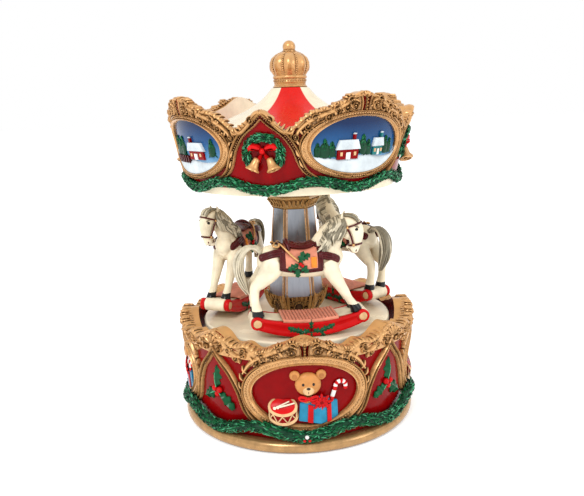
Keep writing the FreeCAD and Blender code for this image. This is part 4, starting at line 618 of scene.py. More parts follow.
def greenery(sculpt, centres, outward, radius, count, chance, length):
    """Fir sprigs that stand out of a garland's core all along its path."""
    centres = np.array(centres)
    tangents = unit(np.gradient(centres, axis=0))
    for _ in range(count):
        index = chance.randrange(len(centres))
        phase = chance.uniform(-0.75, 0.75) * math.pi
        side = unit(np.cross(tangents[index], outward[index]))
        spoke = outward[index] * math.cos(phase) + side * math.sin(phase)
        lean = tangents[index] * chance.uniform(-1.1, 1.1) + spoke * chance.uniform(0.15, 0.6)
        reach = length * chance.uniform(0.7, 1.15)
        root = centres[index] + spoke * radius * 0.55
        tip = root + unit(lean + side * chance.uniform(-0.5, 0.5)) * reach
        over = tip - centres[index]
        across = over - tangents[index] * np.dot(over, tangents[index])
        excess = np.linalg.norm(across) - radius
        if excess > 0:
            tip = tip - unit(across) * excess
        paint = chance.choice(("green", "green", "green_dark", "green_light"))
        needle(sculpt, root, tip, NEEDLE_WIDTH, paint)


def remeshed(sculpt, name):
    """One smooth skin over the parts of a sculpt."""
    raw = bpy.data.objects.new(name, sculpt.mesh(name))
    bpy.context.scene.collection.objects.link(raw)
    skin = raw.modifiers.new("skin", "REMESH")
    skin.mode = "VOXEL"
    skin.voxel_size = SKIN_VOXEL * MM
    relax = raw.modifiers.new("relax", "SMOOTH")
    relax.factor = 0.5
    relax.iterations = SKIN_PASSES
    bpy.context.view_layer.update()
    result = bpy.data.meshes.new_from_object(raw.evaluated_get(bpy.context.evaluated_depsgraph_get()))
    bpy.data.objects.remove(raw)
    result.shade_smooth()
    return result


# Frames and carving


def oval_path(half_width, middle, half_height, width, rise, count=72):
    """Stations all round an oval."""
    phases = [2 * math.pi * index / count for index in range(count)]
    return [(half_width * math.cos(phase), middle + half_height * math.sin(phase), width, rise)
            for phase in phases]


def pointed_side(outline, grow, count=30):
    """One side of a pointed panel: it flares at its foot, follows the oval and closes in an ogee."""
    foot_half, waist_half, foot, waist, apex = outline
    foot_half, waist_half, apex = foot_half + grow, waist_half + grow, apex + 1.3 * grow
    rise = apex - waist
    stations = ((foot_half, foot),
                (waist_half + 0.3 * (foot_half - waist_half), foot + 0.42 * (waist - foot)),
                (waist_half, waist), (0.66 * waist_half, waist + 0.45 * rise),
                (0.26 * waist_half, waist + 0.76 * rise), (0.0, apex))
    return smooth_path(stations, count)


def beads(sculpt, wall, path, step, size, lift, paint):
    """A row of beads along a path of (arc, height)."""
    path = np.array(path, float)
    gaps = np.linalg.norm(np.diff(path[:, :2], axis=0), axis=1)
    travelled = np.concatenate(([0.0], np.cumsum(gaps)))
    for distance in np.arange(step / 2, travelled[-1], step):
        arc = np.interp(distance, travelled, path[:, 0])
        height = np.interp(distance, travelled, path[:, 1])
        wall_blob(sculpt, wall, arc, height, (size, size, size), lift, paint, 5, 8)


def volute(sculpt, wall, arc, height, radius, turns, start, width, rise, paint, direction=1, mirror=True):
    """A spiral scroll that winds into its eye."""
    stations = []
    steps = int(turns * 10)
    for index in range(steps + 1):
        share = index / steps
        reach = radius * (1 - 0.78 * share)
        phase = math.radians(start) + direction * 2 * math.pi * turns * share
        stations.append((arc + reach * math.cos(phase), height + reach * math.sin(phase),
                         width * (1 - 0.45 * share), rise * (1 + 0.25 * share)))
    stroke(sculpt, wall, stations, paint, steps * 2, 8, mirror=mirror)
    for side in ((1, -1) if mirror else (1,)):
        wall_blob(sculpt, wall, side * arc, height, (width, width, rise * 1.35), 0.0, paint, 6, 10)


def acanthus(sculpt, wall, spine, lobes, paint):
    """A leaf scroll: a spine of stations, and lobes that curl off it on one side."""
    stroke(sculpt, wall, spine, paint, 26, 10, mirror=True)
    for (arc, height), (tip_arc, tip_height), width, rise in lobes:
        bend = ((arc + tip_arc) / 2 + 0.25 * (tip_height - height), (height + tip_height) / 2)
        stations = ((arc, height, width * 0.7, rise), (*bend, width, rise),
                    (tip_arc, tip_height, 0.25, rise * 0.6))
        stroke(sculpt, wall, stations, paint, 9, 6, mirror=True)


def keystone(sculpt, wall, low, high, rise):
    """A fluted bracket in the middle of a crest, with a leaf cap."""
    for arc, width, paint in ((0.0, 0.9, "gold"), (1.55, 0.55, "red"), (2.7, 0.7, "gold")):
        stations = ((arc * 0.8, low, width, rise), (arc * 0.7, (low + high) / 2, width, rise + 0.4),
                    (arc * 1.15, high, width, rise + 0.2))
        stroke(sculpt, wall, stations, paint, 12, 8, mirror=arc > 0)
    beads(sculpt, wall, [(0.0, low + 0.6), (0.0, high - 0.6)], 1.5, 0.62, rise + 0.5, "gold_dark")
    for tilt, reach in ((-58, 3.0), (-28, 3.2), (0, 3.0), (28, 3.2), (58, 3.0)):
        lean = math.radians(tilt)
        tip = (reach * math.sin(lean), high - 1.2 + reach * math.cos(lean) * 0.75)
        stroke(sculpt, wall,
               ((0.0, high - 1.2, 0.5, rise), (tip[0] * 0.6, (high - 1.2 + tip[1]) / 2, 1.0, rise + 0.4),
                (*tip, 0.35, rise)), "gold", 8, 6)


def crest_edge(line):
    """Stations of the rolled edge just below a crest's line."""
    return [(arc, height - 0.7, 0.9, 2.2) for arc, height in line]


def oval_frame(carving, wall, middle, lines, row, step, size):
    """Two gold lines round an oval panel, with a row of beads between them."""
    for half_width, half_height, width, rise in lines:
        stroke(carving, wall, oval_path(half_width, middle, half_height, width, rise), "gold", closed=True)
    beads(carving, wall, oval_path(row[0], middle, row[1], 0, 0), step, size, 1.9, "gold")


def leaflet(carving, wall, *stations):
    """A small gold leaf on both sides of a panel."""
    stroke(carving, wall, stations, "gold", 8, 6, mirror=True)


def base_carving():
    """Mouldings, scrolls and leaves on the base's frames and crest."""
    carving = Sculpt()
    wall = BASE_WALL
    oval_frame(carving, wall, BASE_OVAL_MIDDLE, ((29.0, 17.2, 0.75, 3.0), (33.1, 21.1, 0.7, 2.7)),
               (31.1, 19.2), 1.55, 0.62)
    crest = ((0.0, 61.2), (10.0, 58.3), (17.9, 56.0), (23.5, 54.5), (29.6, 57.5), (35.7, 56.3),
             (41.3, 58.3), (50.3, 62.2))
    stroke(carving, wall, crest_edge(crest), "gold", 44, 8, mirror=True)
    keystone(carving, wall, 52.0, 60.2, 2.2)
    spine = ((32.2, 42.0, 0.8, 2.2), (28.0, 47.8, 1.4, 2.6), (22.8, 51.8, 1.7, 2.8), (17.0, 54.6, 1.8, 2.9),
             (11.0, 57.2, 1.7, 2.9), (7.0, 58.9, 1.3, 2.7), (3.6, 57.4, 1.0, 2.6))
    lobes = [((9.0 + 3.6 * step, 57.0 - 1.05 * step), (7.6 + 3.9 * step, 53.6 - 1.35 * step), 1.15, 2.7)
             for step in range(6)]
    lobes += [((12.0 + 4.4 * step, 57.0 - 1.0 * step), (10.2 + 4.8 * step, 58.8 - 1.15 * step), 0.85, 2.6)
              for step in range(4)]
    acanthus(carving, wall, spine, lobes, "gold")
    volute(carving, wall, 6.2, 55.6, 2.9, 1.5, 60.0, 0.75, 2.7, "gold", -1)
    sweep_down = ((47.5, 58.6, 1.0, 2.6), (43.5, 58.0, 1.6, 3.0), (39.5, 54.2, 1.8, 3.0),
                  (35.0, 51.4, 1.4, 2.8), (31.0, 52.4, 1.0, 2.6), (29.6, 54.6, 0.7, 2.4))
    stroke(carving, wall, sweep_down, "gold", 26, 10, mirror=True)
    volute(carving, wall, 30.6, 55.0, 1.9, 1.25, 200.0, 0.6, 2.5, "gold", 1)
    for arc, height, tip_arc, tip_height in ((41.5, 55.4, 44.2, 52.2), (38.6, 53.0, 40.4, 49.8),
                                             (36.0, 51.4, 36.8, 48.2), (33.6, 50.6, 33.4, 47.4),
                                             (44.5, 57.2, 47.0, 54.4)):
        leaflet(carving, wall, (arc, height, 0.8, 2.4),
                ((arc + tip_arc) / 2 + 0.5, (height + tip_height) / 2, 1.1, 2.5),
                (tip_arc, tip_height, 0.3, 1.6))
    stroke(carving, wall, ((40.5, 57.2, 0.3, 1.6), (37.5, 55.0, 1.2, 1.6), (34.2, 54.0, 0.4, 1.6)), "red",
           10, 8, mirror=True)
    for arc, height, size in ((31.5, 44.0, 1.0), (33.4, 39.5, 0.9), (34.2, 34.5, 0.8), (33.8, 29.5, 0.8)):
        leaflet(carving, wall, (arc - 1.6, height - 1.6, 0.3, 1.9), (arc, height, size, 2.6),
                (arc + 0.6, height + 2.4, 0.3, 1.9))
    stroke(carving, wall,
           ((0.6, 12.2, 0.4, 2.4), (4.0, 12.9, 1.2, 3.0), (8.2, 12.3, 0.9, 2.6), (11.5, 13.4, 0.3, 2.2)),
           "gold", 12, 8, mirror=True)
    scrollwork(carving, wall, spine[1:], 2.2, 6)
    scrollwork(carving, wall, sweep_down, 1.7, 4)
    gadroons(carving, wall, crest, 2.3, 4.2)
    crown_of_leaves(carving, wall, 55.2)
    carving.around(PANELS)
    return carving.finish("base_carving", "base", "gold")


BASE_POINT = (27.5, 13.4, 11.5, 31.0, 50.2)
CANOPY_POINT = (32.0, 14.2, 136.6, 155.0, 169.4)


def pointed_panels(name, wall, outline, body, node):
    """Red fields of the pointed panels, each with two gold lines and a row of beads round it."""
    panels = Sculpt()
    side = pointed_side(outline, 1.4)

    def spot(row, share, lift):
        half, height = side[row]
        return wall.point(POINT_MIDDLE + half * share, height, lift)

    curved_sheet(panels, spot, (0.45, -0.4), len(side), 15, "red")
    for hand in (-1, 1):
        for grow, width, rise in ((0.0, 0.5, 2.3), (2.7, 0.65, 2.7)):
            edge = pointed_side(outline, grow)
            line = [(POINT_MIDDLE + hand * arc, height, width, rise) for arc, height in edge]
            stroke(panels, wall, line, "gold", 44, 8)
        row = [(POINT_MIDDLE + hand * arc, height) for arc, height in side]
        beads(panels, wall, row, 1.25, 0.42, 0.9, "gold")
    panels.around(PANELS)
    return panels.finish(name, body, "gold", (node,))


def scrollwork(carving, wall, spine, radius, count):
    """Spiral scrolls that leave a spine on alternate sides, each with a fan of leaflets."""
    path = smooth_path(spine, count + 2)
    tangents = unit(np.gradient(path[:, :2], axis=0))
    for index in range(1, count + 1):
        arc, height, _, rise = path[index]
        hand = 1 if index % 2 else -1
        away = np.array((-tangents[index][1], tangents[index][0])) * hand
        eye = np.array((arc, height - 0.35 * radius)) + away * radius * 0.35
        heading = math.degrees(math.atan2(-away[1], -away[0]))
        volute(carving, wall, *eye, radius, 1.35, heading, 0.62, rise, "gold", hand)
        for turn in (-70.0, -35.0, 0.0, 35.0, 70.0):
            lean = math.atan2(away[1], away[0]) + math.radians(turn)
            ray = np.array((math.cos(lean), math.sin(lean)))
            near, far = eye + ray * radius * 0.9, eye + ray * radius * 1.5
            stroke(carving, wall,
                   ((*near, 0.5, rise * 0.8), (*((near + far) / 2), 0.75, rise * 0.9),
                    (*far, 0.25, rise * 0.6)), "gold", 6, 6, mirror=True)


def gadroons(carving, wall, line, step, depth):
    """Rounded flutes across the top of a crest, all along its line of (arc, height)."""
    path = smooth_path(line, 60)
    for arc in np.arange(step / 2, path[-1][0], step):
        height = np.interp(arc, path[:, 0], path[:, 1])
        for hand in (-1, 1):
            spots = [wall.point(hand * arc, height + lift, rise)
                     for lift, rise in ((-0.9, 1.6), (0.15, 0.8), (0.45, -0.4 * depth), (-0.1, -depth))]
            tube(carving, [(*spot, 0.42 * step, 0.55) for spot in spots], "gold", 9, 7,
                 tuple(wall.along(hand * arc)))


def crown_of_leaves(carving, wall, height):
    """A rosette with leaves that tops a pointed panel of the base."""
    for tilt, reach, width in ((-78, 7.4, 1.3), (-52, 7.6, 1.5), (-24, 7.2, 1.5), (0, 6.9, 1.4),
                               (24, 7.2, 1.5), (52, 7.6, 1.5), (78, 7.4, 1.3)):
        lean = math.radians(tilt)
        tip = (POINT_MIDDLE + reach * math.sin(lean), height + reach * math.cos(lean) * 0.86)
        bend = (POINT_MIDDLE + 0.6 * reach * math.sin(lean * 1.15), height + 0.6 * reach * math.cos(lean))
        stroke(carving, wall, ((POINT_MIDDLE, height, 0.6, 2.6), (*bend, width, 3.2), (*tip, 0.4, 2.2)),
               "gold", 10, 8)
    for side in (-1, 1):
        volute(carving, wall, POINT_MIDDLE + side * 4.6, height - 2.0, 2.1, 1.4, 90.0, 0.6, 2.8, "gold",
               -side, False)
    wall_blob(carving, wall, POINT_MIDDLE, height, (1.5, 1.5, 3.4), 0.0, "gold", 8, 12)


def canopy_carving():
    """Mouldings, scrolls and leaves on the canopy's frames and crest."""
    carving = Sculpt()
    wall = CANOPY_WALL
    oval_frame(carving, wall, CANOPY_OVAL_MIDDLE, ((28.3, 14.1, 0.7, 3.0), (32.3, 16.0, 0.65, 2.7)),
               (30.4, 15.1), 1.4, 0.55)
    crest = ((0.0, 180.6), (10.2, 177.0), (17.0, 174.0), (27.2, 171.6), (37.4, 163.8), (43.0, 166.4),
             (POINT_MIDDLE, 173.2))
    stroke(carving, wall, crest_edge(crest), "gold", 44, 8, mirror=True)
    keystone(carving, wall, 171.2, 179.6, 2.2)
    spine = ((35.0, 158.5, 0.6, 1.8), (32.5, 163.6, 1.2, 2.4), (26.5, 168.4, 1.6, 2.8),
             (18.5, 171.4, 1.7, 2.9), (11.5, 174.6, 1.6, 2.9), (7.2, 177.0, 1.2, 2.7),
             (3.6, 176.0, 0.9, 2.6))
    lobes = [((9.0 + 4.0 * step, 175.2 - 1.3 * step), (7.4 + 4.3 * step, 171.6 - 1.5 * step), 1.1, 2.7)
             for step in range(6)]
    lobes += [((12.0 + 4.6 * step, 175.0 - 1.1 * step), (10.2 + 5.0 * step, 177.2 - 1.5 * step), 0.85, 2.6)
              for step in range(4)]
    acanthus(carving, wall, spine, lobes, "gold")
    volute(carving, wall, 6.3, 174.2, 2.7, 1.5, 60.0, 0.75, 2.7, "gold", -1)
    volute(carving, wall, POINT_MIDDLE - 4.5, 168.8, 2.1, 1.4, 40.0, 0.65, 2.7, "gold", 1)
    volute(carving, wall, POINT_MIDDLE - 16.0, 160.6, 2.3, 1.4, 60.0, 0.65, 2.6, "gold", -1)
    arch = [(POINT_MIDDLE - inset, *rest)
            for inset, *rest in ((0.0, 172.6, 1.4, 2.8), (2.8, 171.4, 1.4, 2.8), (5.5, 167.6, 1.3, 2.8),
                                 (10.0, 163.6, 1.4, 2.8), (15.0, 162.2, 1.1, 2.6))]
    stroke(carving, wall, arch, "gold", 22, 8, mirror=True)
    for step in range(5):
        arc, height = POINT_MIDDLE - 7.0 - 2.2 * step, 165.8 - 1.1 * step
        leaflet(carving, wall, (arc, height, 0.5, 2.4), (arc - 0.9, height + 0.3, 0.9, 2.6),
                (arc - 2.2, height + 2.0, 0.3, 1.8))
    for arc, height in ((31.6, 163.0), (33.2, 158.0), (33.4, 152.6), (31.8, 147.6)):
        leaflet(carving, wall, (arc - 1.2, height - 1.6, 0.3, 1.9), (arc, height, 0.9, 2.6),
                (arc + 0.8, height + 2.0, 0.3, 1.9))
    stroke(carving, wall,
           ((3.0, 140.4, 0.4, 2.4), (7.0, 140.8, 1.1, 3.0), (11.5, 141.6, 0.8, 2.6),
            (15.0, 143.2, 0.3, 2.2)), "gold", 12, 8, mirror=True)
    scrollwork(carving, wall, spine[1:], 2.3, 7)
    gadroons(carving, wall, crest, 2.3, 3.4)
    carving.around(PANELS)
    return carving.finish("canopy_carving", "carousel", "gold")


GARLAND_SCALLOPS = 8
GARLAND_CORE = 0.72
GARLAND_SKIN = 0.98
GARLAND_NEEDLES = 3600
NEEDLE_LENGTH = 1.25


def make_garland(name, wall, body, node, height, swing, radius, standoff, gems, seed):
    """A scalloped fir garland, with a pearl and berries at the lowest points of the ovals."""
    chance = random.Random(seed)
    green = Sculpt()
    centres, outward = [], []
    for index in range(360):
        angle = wall.panel_angle + index
        middle = height - swing * math.cos(math.radians(GARLAND_SCALLOPS * index))
        centres.append(polar(wall.radius(middle) + standoff, angle, middle))
        outward.append(polar(1.0, angle, 0.0))
    centres, outward = np.array(centres), np.array(outward)
    tangents = unit(np.roll(centres, -1, axis=0) - np.roll(centres, 1, axis=0))
    across = unit(np.cross(tangents, outward))
    core = np.full(len(centres), radius * GARLAND_CORE)
    sweep(green, centres, across, outward, core, core, "green_dark", 8, True)
    greenery(green, centres, outward, radius * GARLAND_SKIN, GARLAND_NEEDLES, chance,
             radius * NEEDLE_LENGTH)
    if gems:
        for panel in range(PANELS):
            index = int(panel * PANEL_STEP)
            front = centres[index] + outward[index] * radius * GARLAND_CORE
            side = tangents[index]
            blob(green, front + UP * 0.9, (side * 1.1, UP * 1.1, outward[index] * 0.9), "white", 7, 10)
            for offset in (-1.3, 1.3):
                blob(green, front + side * offset - UP * 0.9,
                     (side * 0.85, UP * 0.85, outward[index] * 0.8), "red_bright", 6, 10)
    return green.finish(name, body, "green", (node,))


# Reliefs in the panels


def holly_sprigs():
    """Holly leaves with berries in the pointed panels of the base."""
    holly = Sculpt()
    wall = BASE_WALL
    for arc, height, tilt, length, width in ((-0.4, 30.6, 4, 12.4, 6.6), (-1.4, 28.0, -118, 10.4, 6.0),
                                             (1.4, 27.6, 128, 12.0, 6.6)):
        wall_leaf(holly, wall, POINT_MIDDLE + arc, height, tilt, length, width, 0.5, "holly")
        lean = math.radians(tilt)
        tip = (POINT_MIDDLE + arc + length * 0.9 * math.sin(lean), height + length * 0.9 * math.cos(lean))
        start = wall.point(POINT_MIDDLE + arc, height, 1.9)
        end = wall.point(*tip, 1.5)
        tube(holly,
             ((*start, 0.28, 0.28), (*((start + end) / 2 + wall.outward(POINT_MIDDLE)), 0.24, 0.24),
              (*end, 0.1, 0.1)), "green_light", 8, 5, (0, 0, 1))
    for arc, height in ((-1.7, 29.6), (1.7, 29.4), (0.1, 27.0)):
        wall_blob(holly, wall, POINT_MIDDLE + arc, height, (1.75, 1.75, 1.75), 1.3, "red_bright", 9, 14)
    holly.around(PANELS)
    return holly.finish("holly_sprigs", "base", "green", ("base_holly",))


def toy_bear(toys, wall):
    """A seated teddy bear, with its bow tie."""
    middle = 1.4
    wall_blob(toys, wall, middle, 25.0, (4.4, 6.4, 2.0), 0.2, "tan", 10, 16)
    wall_blob(toys, wall, middle, 37.8, (6.7, 6.3, 4.8), 0.6, "tan", 12, 20)
    wall_blob(toys, wall, middle, 34.9, (3.1, 2.6, 2.6), 4.2, "tan_light", 9, 14)
    wall_blob(toys, wall, middle, 36.2, (1.1, 0.75, 0.9), 6.4, "black", 7, 10)
    wall_blob(toys, wall, middle, 34.2, (0.2, 0.9, 0.4), 6.7, "black", 5, 8)
    for side in (-1, 1):
        wall_blob(toys, wall, middle + side * 6.6, 42.6, (2.7, 2.7, 1.8), 1.0, "tan", 9, 14)
        wall_blob(toys, wall, middle + side * 6.6, 42.4, (1.6, 1.6, 1.0), 2.1, "tan_dark", 7, 12)
        wall_blob(toys, wall, middle + side * 2.5, 38.4, (0.7, 0.8, 0.7), 5.1, "black", 7, 10)
        wall_blob(toys, wall, middle + side * 2.6, 30.4, (2.9, 1.7, 1.3), 4.2, "red_bright", 8, 12,
                  side * 14.0)
        wall_blob(toys, wall, middle + side * 2.9, 30.5, (1.5, 0.4, 0.6), 5.4, "red", 6, 10, side * 14.0)
    wall_blob(toys, wall, middle, 30.4, (1.0, 1.1, 1.3), 4.8, "red_bright", 7, 10)


def toy_drum(toys, wall):
    """A little drum that leans back to show its skin, with two sticks on it."""
    arc, foot = -11.6, 20.0
    origin = wall.point(arc, foot, 1.0)
    axis = unit(UP + wall.outward(arc) * 0.62)
    radius, tall = 7.1, 7.4
    lathe(toys, origin, axis, ((radius * 0.92, 0.0), (radius, tall)), "red", 32)
    for level in (0.0, tall - 1.2):
        lathe(toys, origin + axis * level, axis,
              ((radius + 0.1, -0.1), (radius + 0.65, 0.1), (radius + 0.65, 1.1), (radius + 0.1, 1.3)),
              "tan_light", 32)
    lathe(toys, origin + axis * tall, axis,
          ((radius - 0.7, -0.2), (radius - 0.7, 0.25), (radius - 1.2, 0.32)), "red_bright", 32)
    side = wall.along(arc)
    front = unit(np.cross(side, axis))
    points = []
    for index in range(9):
        turn = math.pi * index / 8
        spoke = side * math.cos(turn) + front * math.sin(turn)
        spoke = spoke if np.dot(spoke, wall.outward(arc)) > -0.2 else -spoke
        points.append(origin + spoke * (radius + 0.25) + axis * (1.3 if index % 2 else tall - 1.4))
    for start, end in zip(points, points[1:]):
        tube(toys, ((*start, 0.32, 0.32), (*end, 0.32, 0.32)), "tan_light", 3, 6)
    for turn, shift in ((24.0, 1.2), (38.0, -1.0)):
        lean = math.radians(turn)
        along = side * math.cos(lean) - front * math.sin(lean)
        middle = origin + axis * (tall + 0.8) + side * shift
        start, end = middle - along * 4.0, middle + along * 5.4
        tube(toys, ((*start, 0.5, 0.5), (*end, 0.42, 0.42)), "cream", 4, 8)
        blob(toys, start, (side * 0.9, axis * 0.9, front * 0.9), "cream", 6, 8)


def toy_gift(toys, wall):
    """A wrapped box seen from its corner, with a ribbon, a bow and a cane behind it."""
    corner = 7.4
    for side, width in ((-1, 11.0), (1, 9.6)):
        outline = ((corner, 16.2), (corner + side * width, 17.6), (corner + side * width * 0.94, 27.6),
                   (corner, 25.4))
        face_plate(toys, wall, outline, (5.6, 1.6, 1.6, 5.6), "blue")
        band = ((corner + side * width * 0.36, 16.6), (corner + side * width * 0.6, 17.0),
                (corner + side * width * 0.56, 26.9), (corner + side * width * 0.33, 26.3))
        face_plate(toys, wall, band, (4.5, 3.6, 3.6, 4.5), "red_bright")
    top = ((corner, 25.4), (corner + 9.0, 27.6), (corner + 0.4, 30.4), (corner - 10.3, 27.6))
    face_plate(toys, wall, top, (5.6, 1.6, 0.6, 1.6), "blue")
    for ring, (reach, lift, turn) in enumerate(((3.5, 4.2, 0.0), (2.0, 5.2, 22.0))):
        for tilt in range(0, 360, 45):
            lean = math.radians(tilt + turn)
            wall_blob(toys, wall, corner + 0.4 + reach * math.cos(lean),
                      28.0 + 0.85 * reach * math.sin(lean), (1.9 - 0.3 * ring, 0.85, 1.2), lift,
                      "red_bright", 7, 10, tilt + turn)
    wall_blob(toys, wall, corner + 0.4, 28.0, (1.1, 1.0, 1.5), 5.6, "red", 7, 10)
    crook = []
    for index in range(9):
        turn = math.pi * index / 8
        crook.append((15.4 + 2.8 - 2.8 * math.cos(turn), 34.8 + 2.9 * math.sin(turn)))
    stem = [(13.0, 26.6), (13.8, 29.6), (14.8, 32.6)] + crook + [(21.0, 33.2)]
    path = smooth_path(stem, 44)
    for index in range(len(path) - 1):
        paint = "white" if (index // 4) % 2 else "red_bright"
        start, end = (wall.point(arc, height, 1.2) for arc, height in path[index:index + 2])
        reach = (end - start) * 0.15
        tube(toys, ((*(start - reach), 1.15, 1.15), (*(end + reach), 1.15, 1.15)), paint, 2, 8,
             tuple(wall.outward(14.0)))


def face_plate(sculpt, wall, outline, lifts, paint):
    """A slanted face of a box: each corner of the outline has its own lift off the wall."""
    under = [wall.point(*spot, -FACE_SINK) for spot in outline]
    loft(sculpt, [under, [wall.point(*spot, lift) for spot, lift in zip(outline, lifts)]], paint)


RELIEF_DEPTH = 5.2


def pressed(sculpt, wall, depth):
    """Presses a sculpt into relief, so that nothing stands further off the wall than a depth."""
    for index, (x, y, z) in enumerate(sculpt.points):
        radius = math.hypot(x, y)
        rise = radius - wall.radius(z)
        if rise > 0:
            flat = wall.radius(z) + depth * (1 - math.exp(-rise / depth))
            sculpt.points[index] = (x * flat / radius, y * flat / radius, z)


def panel_toys():
    """The toys in the oval panels of the base."""
    toys = Sculpt()
    toy_bear(toys, BASE_WALL)
    toy_drum(toys, BASE_WALL)
    toy_gift(toys, BASE_WALL)
    pressed(toys, BASE_WALL, RELIEF_DEPTH)
    toys.around(PANELS)
    return toys.finish("panel_toys", "base", "tan", ("base_toys",))


def fir_tree(scene, wall, arc, foot, tall, chance):
    """A small fir of layered boughs."""
    for tier in range(4):
        share = tier / 4
        reach = tall * 0.36 * (1 - share * 0.8)
        level = foot + tall * (0.12 + 0.8 * share)
        for _ in range(14):
            offset = chance.uniform(-1, 1)
            root = wall.point(arc, level + tall * 0.2, 1.0)
            tip = wall.point(arc + offset * reach, level - 0.12 * tall * abs(offset),
                             1.0 + 0.9 * (1 - abs(offset)))
            needle(scene, root, tip, 0.6, chance.choice(("green", "holly", "green_dark")))
    wall_blob(scene, wall, arc, foot + tall * 0.45, (tall * 0.24, tall * 0.42, 1.0), 0.7, "green_dark", 7,
              10)


def cottage(scene, wall, arc, foot, width, tall, paint, chimney):
    """A cottage with a snowy roof, a door, windows and a chimney."""
    rectangle(scene, wall, arc, width / 2, foot, foot + tall * 0.55, 2.0, paint)
    eave, ridge = foot + tall * 0.5, foot + tall
    plate(scene, wall,
          ((arc - width * 0.58, eave), (arc + width * 0.58, eave), (arc + width * 0.42, ridge),
           (arc - width * 0.42, ridge)), 2.5, "snow")
    rectangle(scene, wall, arc, width * 0.1, foot, foot + tall * 0.36, 2.25, "white", 0.15)
    for side in (-1, 1):
        window = arc + side * width * 0.32
        rectangle(scene, wall, window, 0.65, foot + tall * 0.18, foot + tall * 0.38, 2.2, "tan_light", 0.12)
    stack = arc + chimney * width * 0.26
    rectangle(scene, wall, stack, 0.7, foot + tall * 0.9, foot + tall * 1.28, 2.1, paint)
    wall_blob(scene, wall, stack, foot + tall * 1.3, (1.1, 0.45, 0.8), 1.6, "snow", 6, 10)


def snow_field(scene, wall, hill, rise):
    """Snow that fills the lower part of an oval panel, up to a wavy line."""
    half_width, half_height = CANOPY_PICTURE
    columns, rows = 49, 9
    grids = [], []
    for column in range(columns):
        arc = half_width * 0.985 * (2 * column / (columns - 1) - 1)
        floor = CANOPY_OVAL_MIDDLE - half_height * math.sqrt(1 - (arc / half_width) ** 2)
        top = max(hill(arc), floor + 0.2)
        for row in range(rows):
            share = row / (rows - 1)
            for grid, lift in zip(grids, (rise * (1 - 0.75 * share ** 3), -0.3)):
                grid.append(wall.point(arc, floor + (top - floor) * share, lift))
    sheet(scene, *grids, columns, rows, "snow")


def village_scene(scene, wall, chance):
    """A lane of firs between two cottages in the snow."""
    for arc, foot, tall in ((-23.4, 150.2, 8.0), (-19.8, 149.4, 11.0), (-16.0, 149.8, 9.0),
                            (1.6, 150.2, 11.6), (5.2, 150.0, 9.0), (18.2, 149.8, 10.6), (21.8, 150.2, 8.6)):
        fir_tree(scene, wall, arc, foot, tall, chance)
    cottage(scene, wall, -7.4, 149.0, 12.0, 9.4, "red", 1)
    cottage(scene, wall, 11.6, 150.2, 7.0, 8.4, "teal", 1)
    snow_field(scene, wall, lambda arc: 150.4 + 0.8 * math.sin(arc * 0.22 + 0.8), 2.2)


def woodland_scene(scene, wall, chance):
    """A barn at the edge of a wood, with a rail fence across the snow."""
    for arc, foot, tall in ((-21.0, 150.8, 9.6), (-16.4, 150.4, 12.4), (-12.0, 150.6, 10.2),
                            (-7.6, 150.0, 12.6), (20.6, 150.6, 10.6)):
        fir_tree(scene, wall, arc, foot, tall, chance)
    cottage(scene, wall, 7.6, 149.6, 13.6, 8.6, "red", -1)
    for post in range(7):
        arc = -20.0 + 3.2 * post
        rectangle(scene, wall, arc, 0.4, 147.6, 151.4, 2.6, "maroon", 0.15)
    for rail in (148.9, 150.5):
        stroke(scene, wall,
               ((-21.0, rail, 0.32, 2.5), (-10.0, rail + 0.3, 0.32, 2.5), (0.6, rail, 0.32, 2.5)), "maroon",
               14, 6)
    snow_field(scene, wall, lambda arc: 149.6 + 1.1 * math.sin(arc * 0.16 + 2.4), 2.2)


def winter_scenes():
    """Painted reliefs in the oval panels of the canopy, two layouts in turn."""
    chance = random.Random(7)
    scenes = Sculpt()
    for panel, layout in enumerate((village_scene, woodland_scene)):
        wall = Wall(CANOPY_RIM, CANOPY_RIM_RADIUS, CANOPY_LEAN, CANOPY_PANEL_ANGLE - panel * PANEL_STEP)
        layout(scenes, wall, chance)
    scenes.around(2)
    return scenes.finish("winter_scenes", "carousel", "sky_blue")


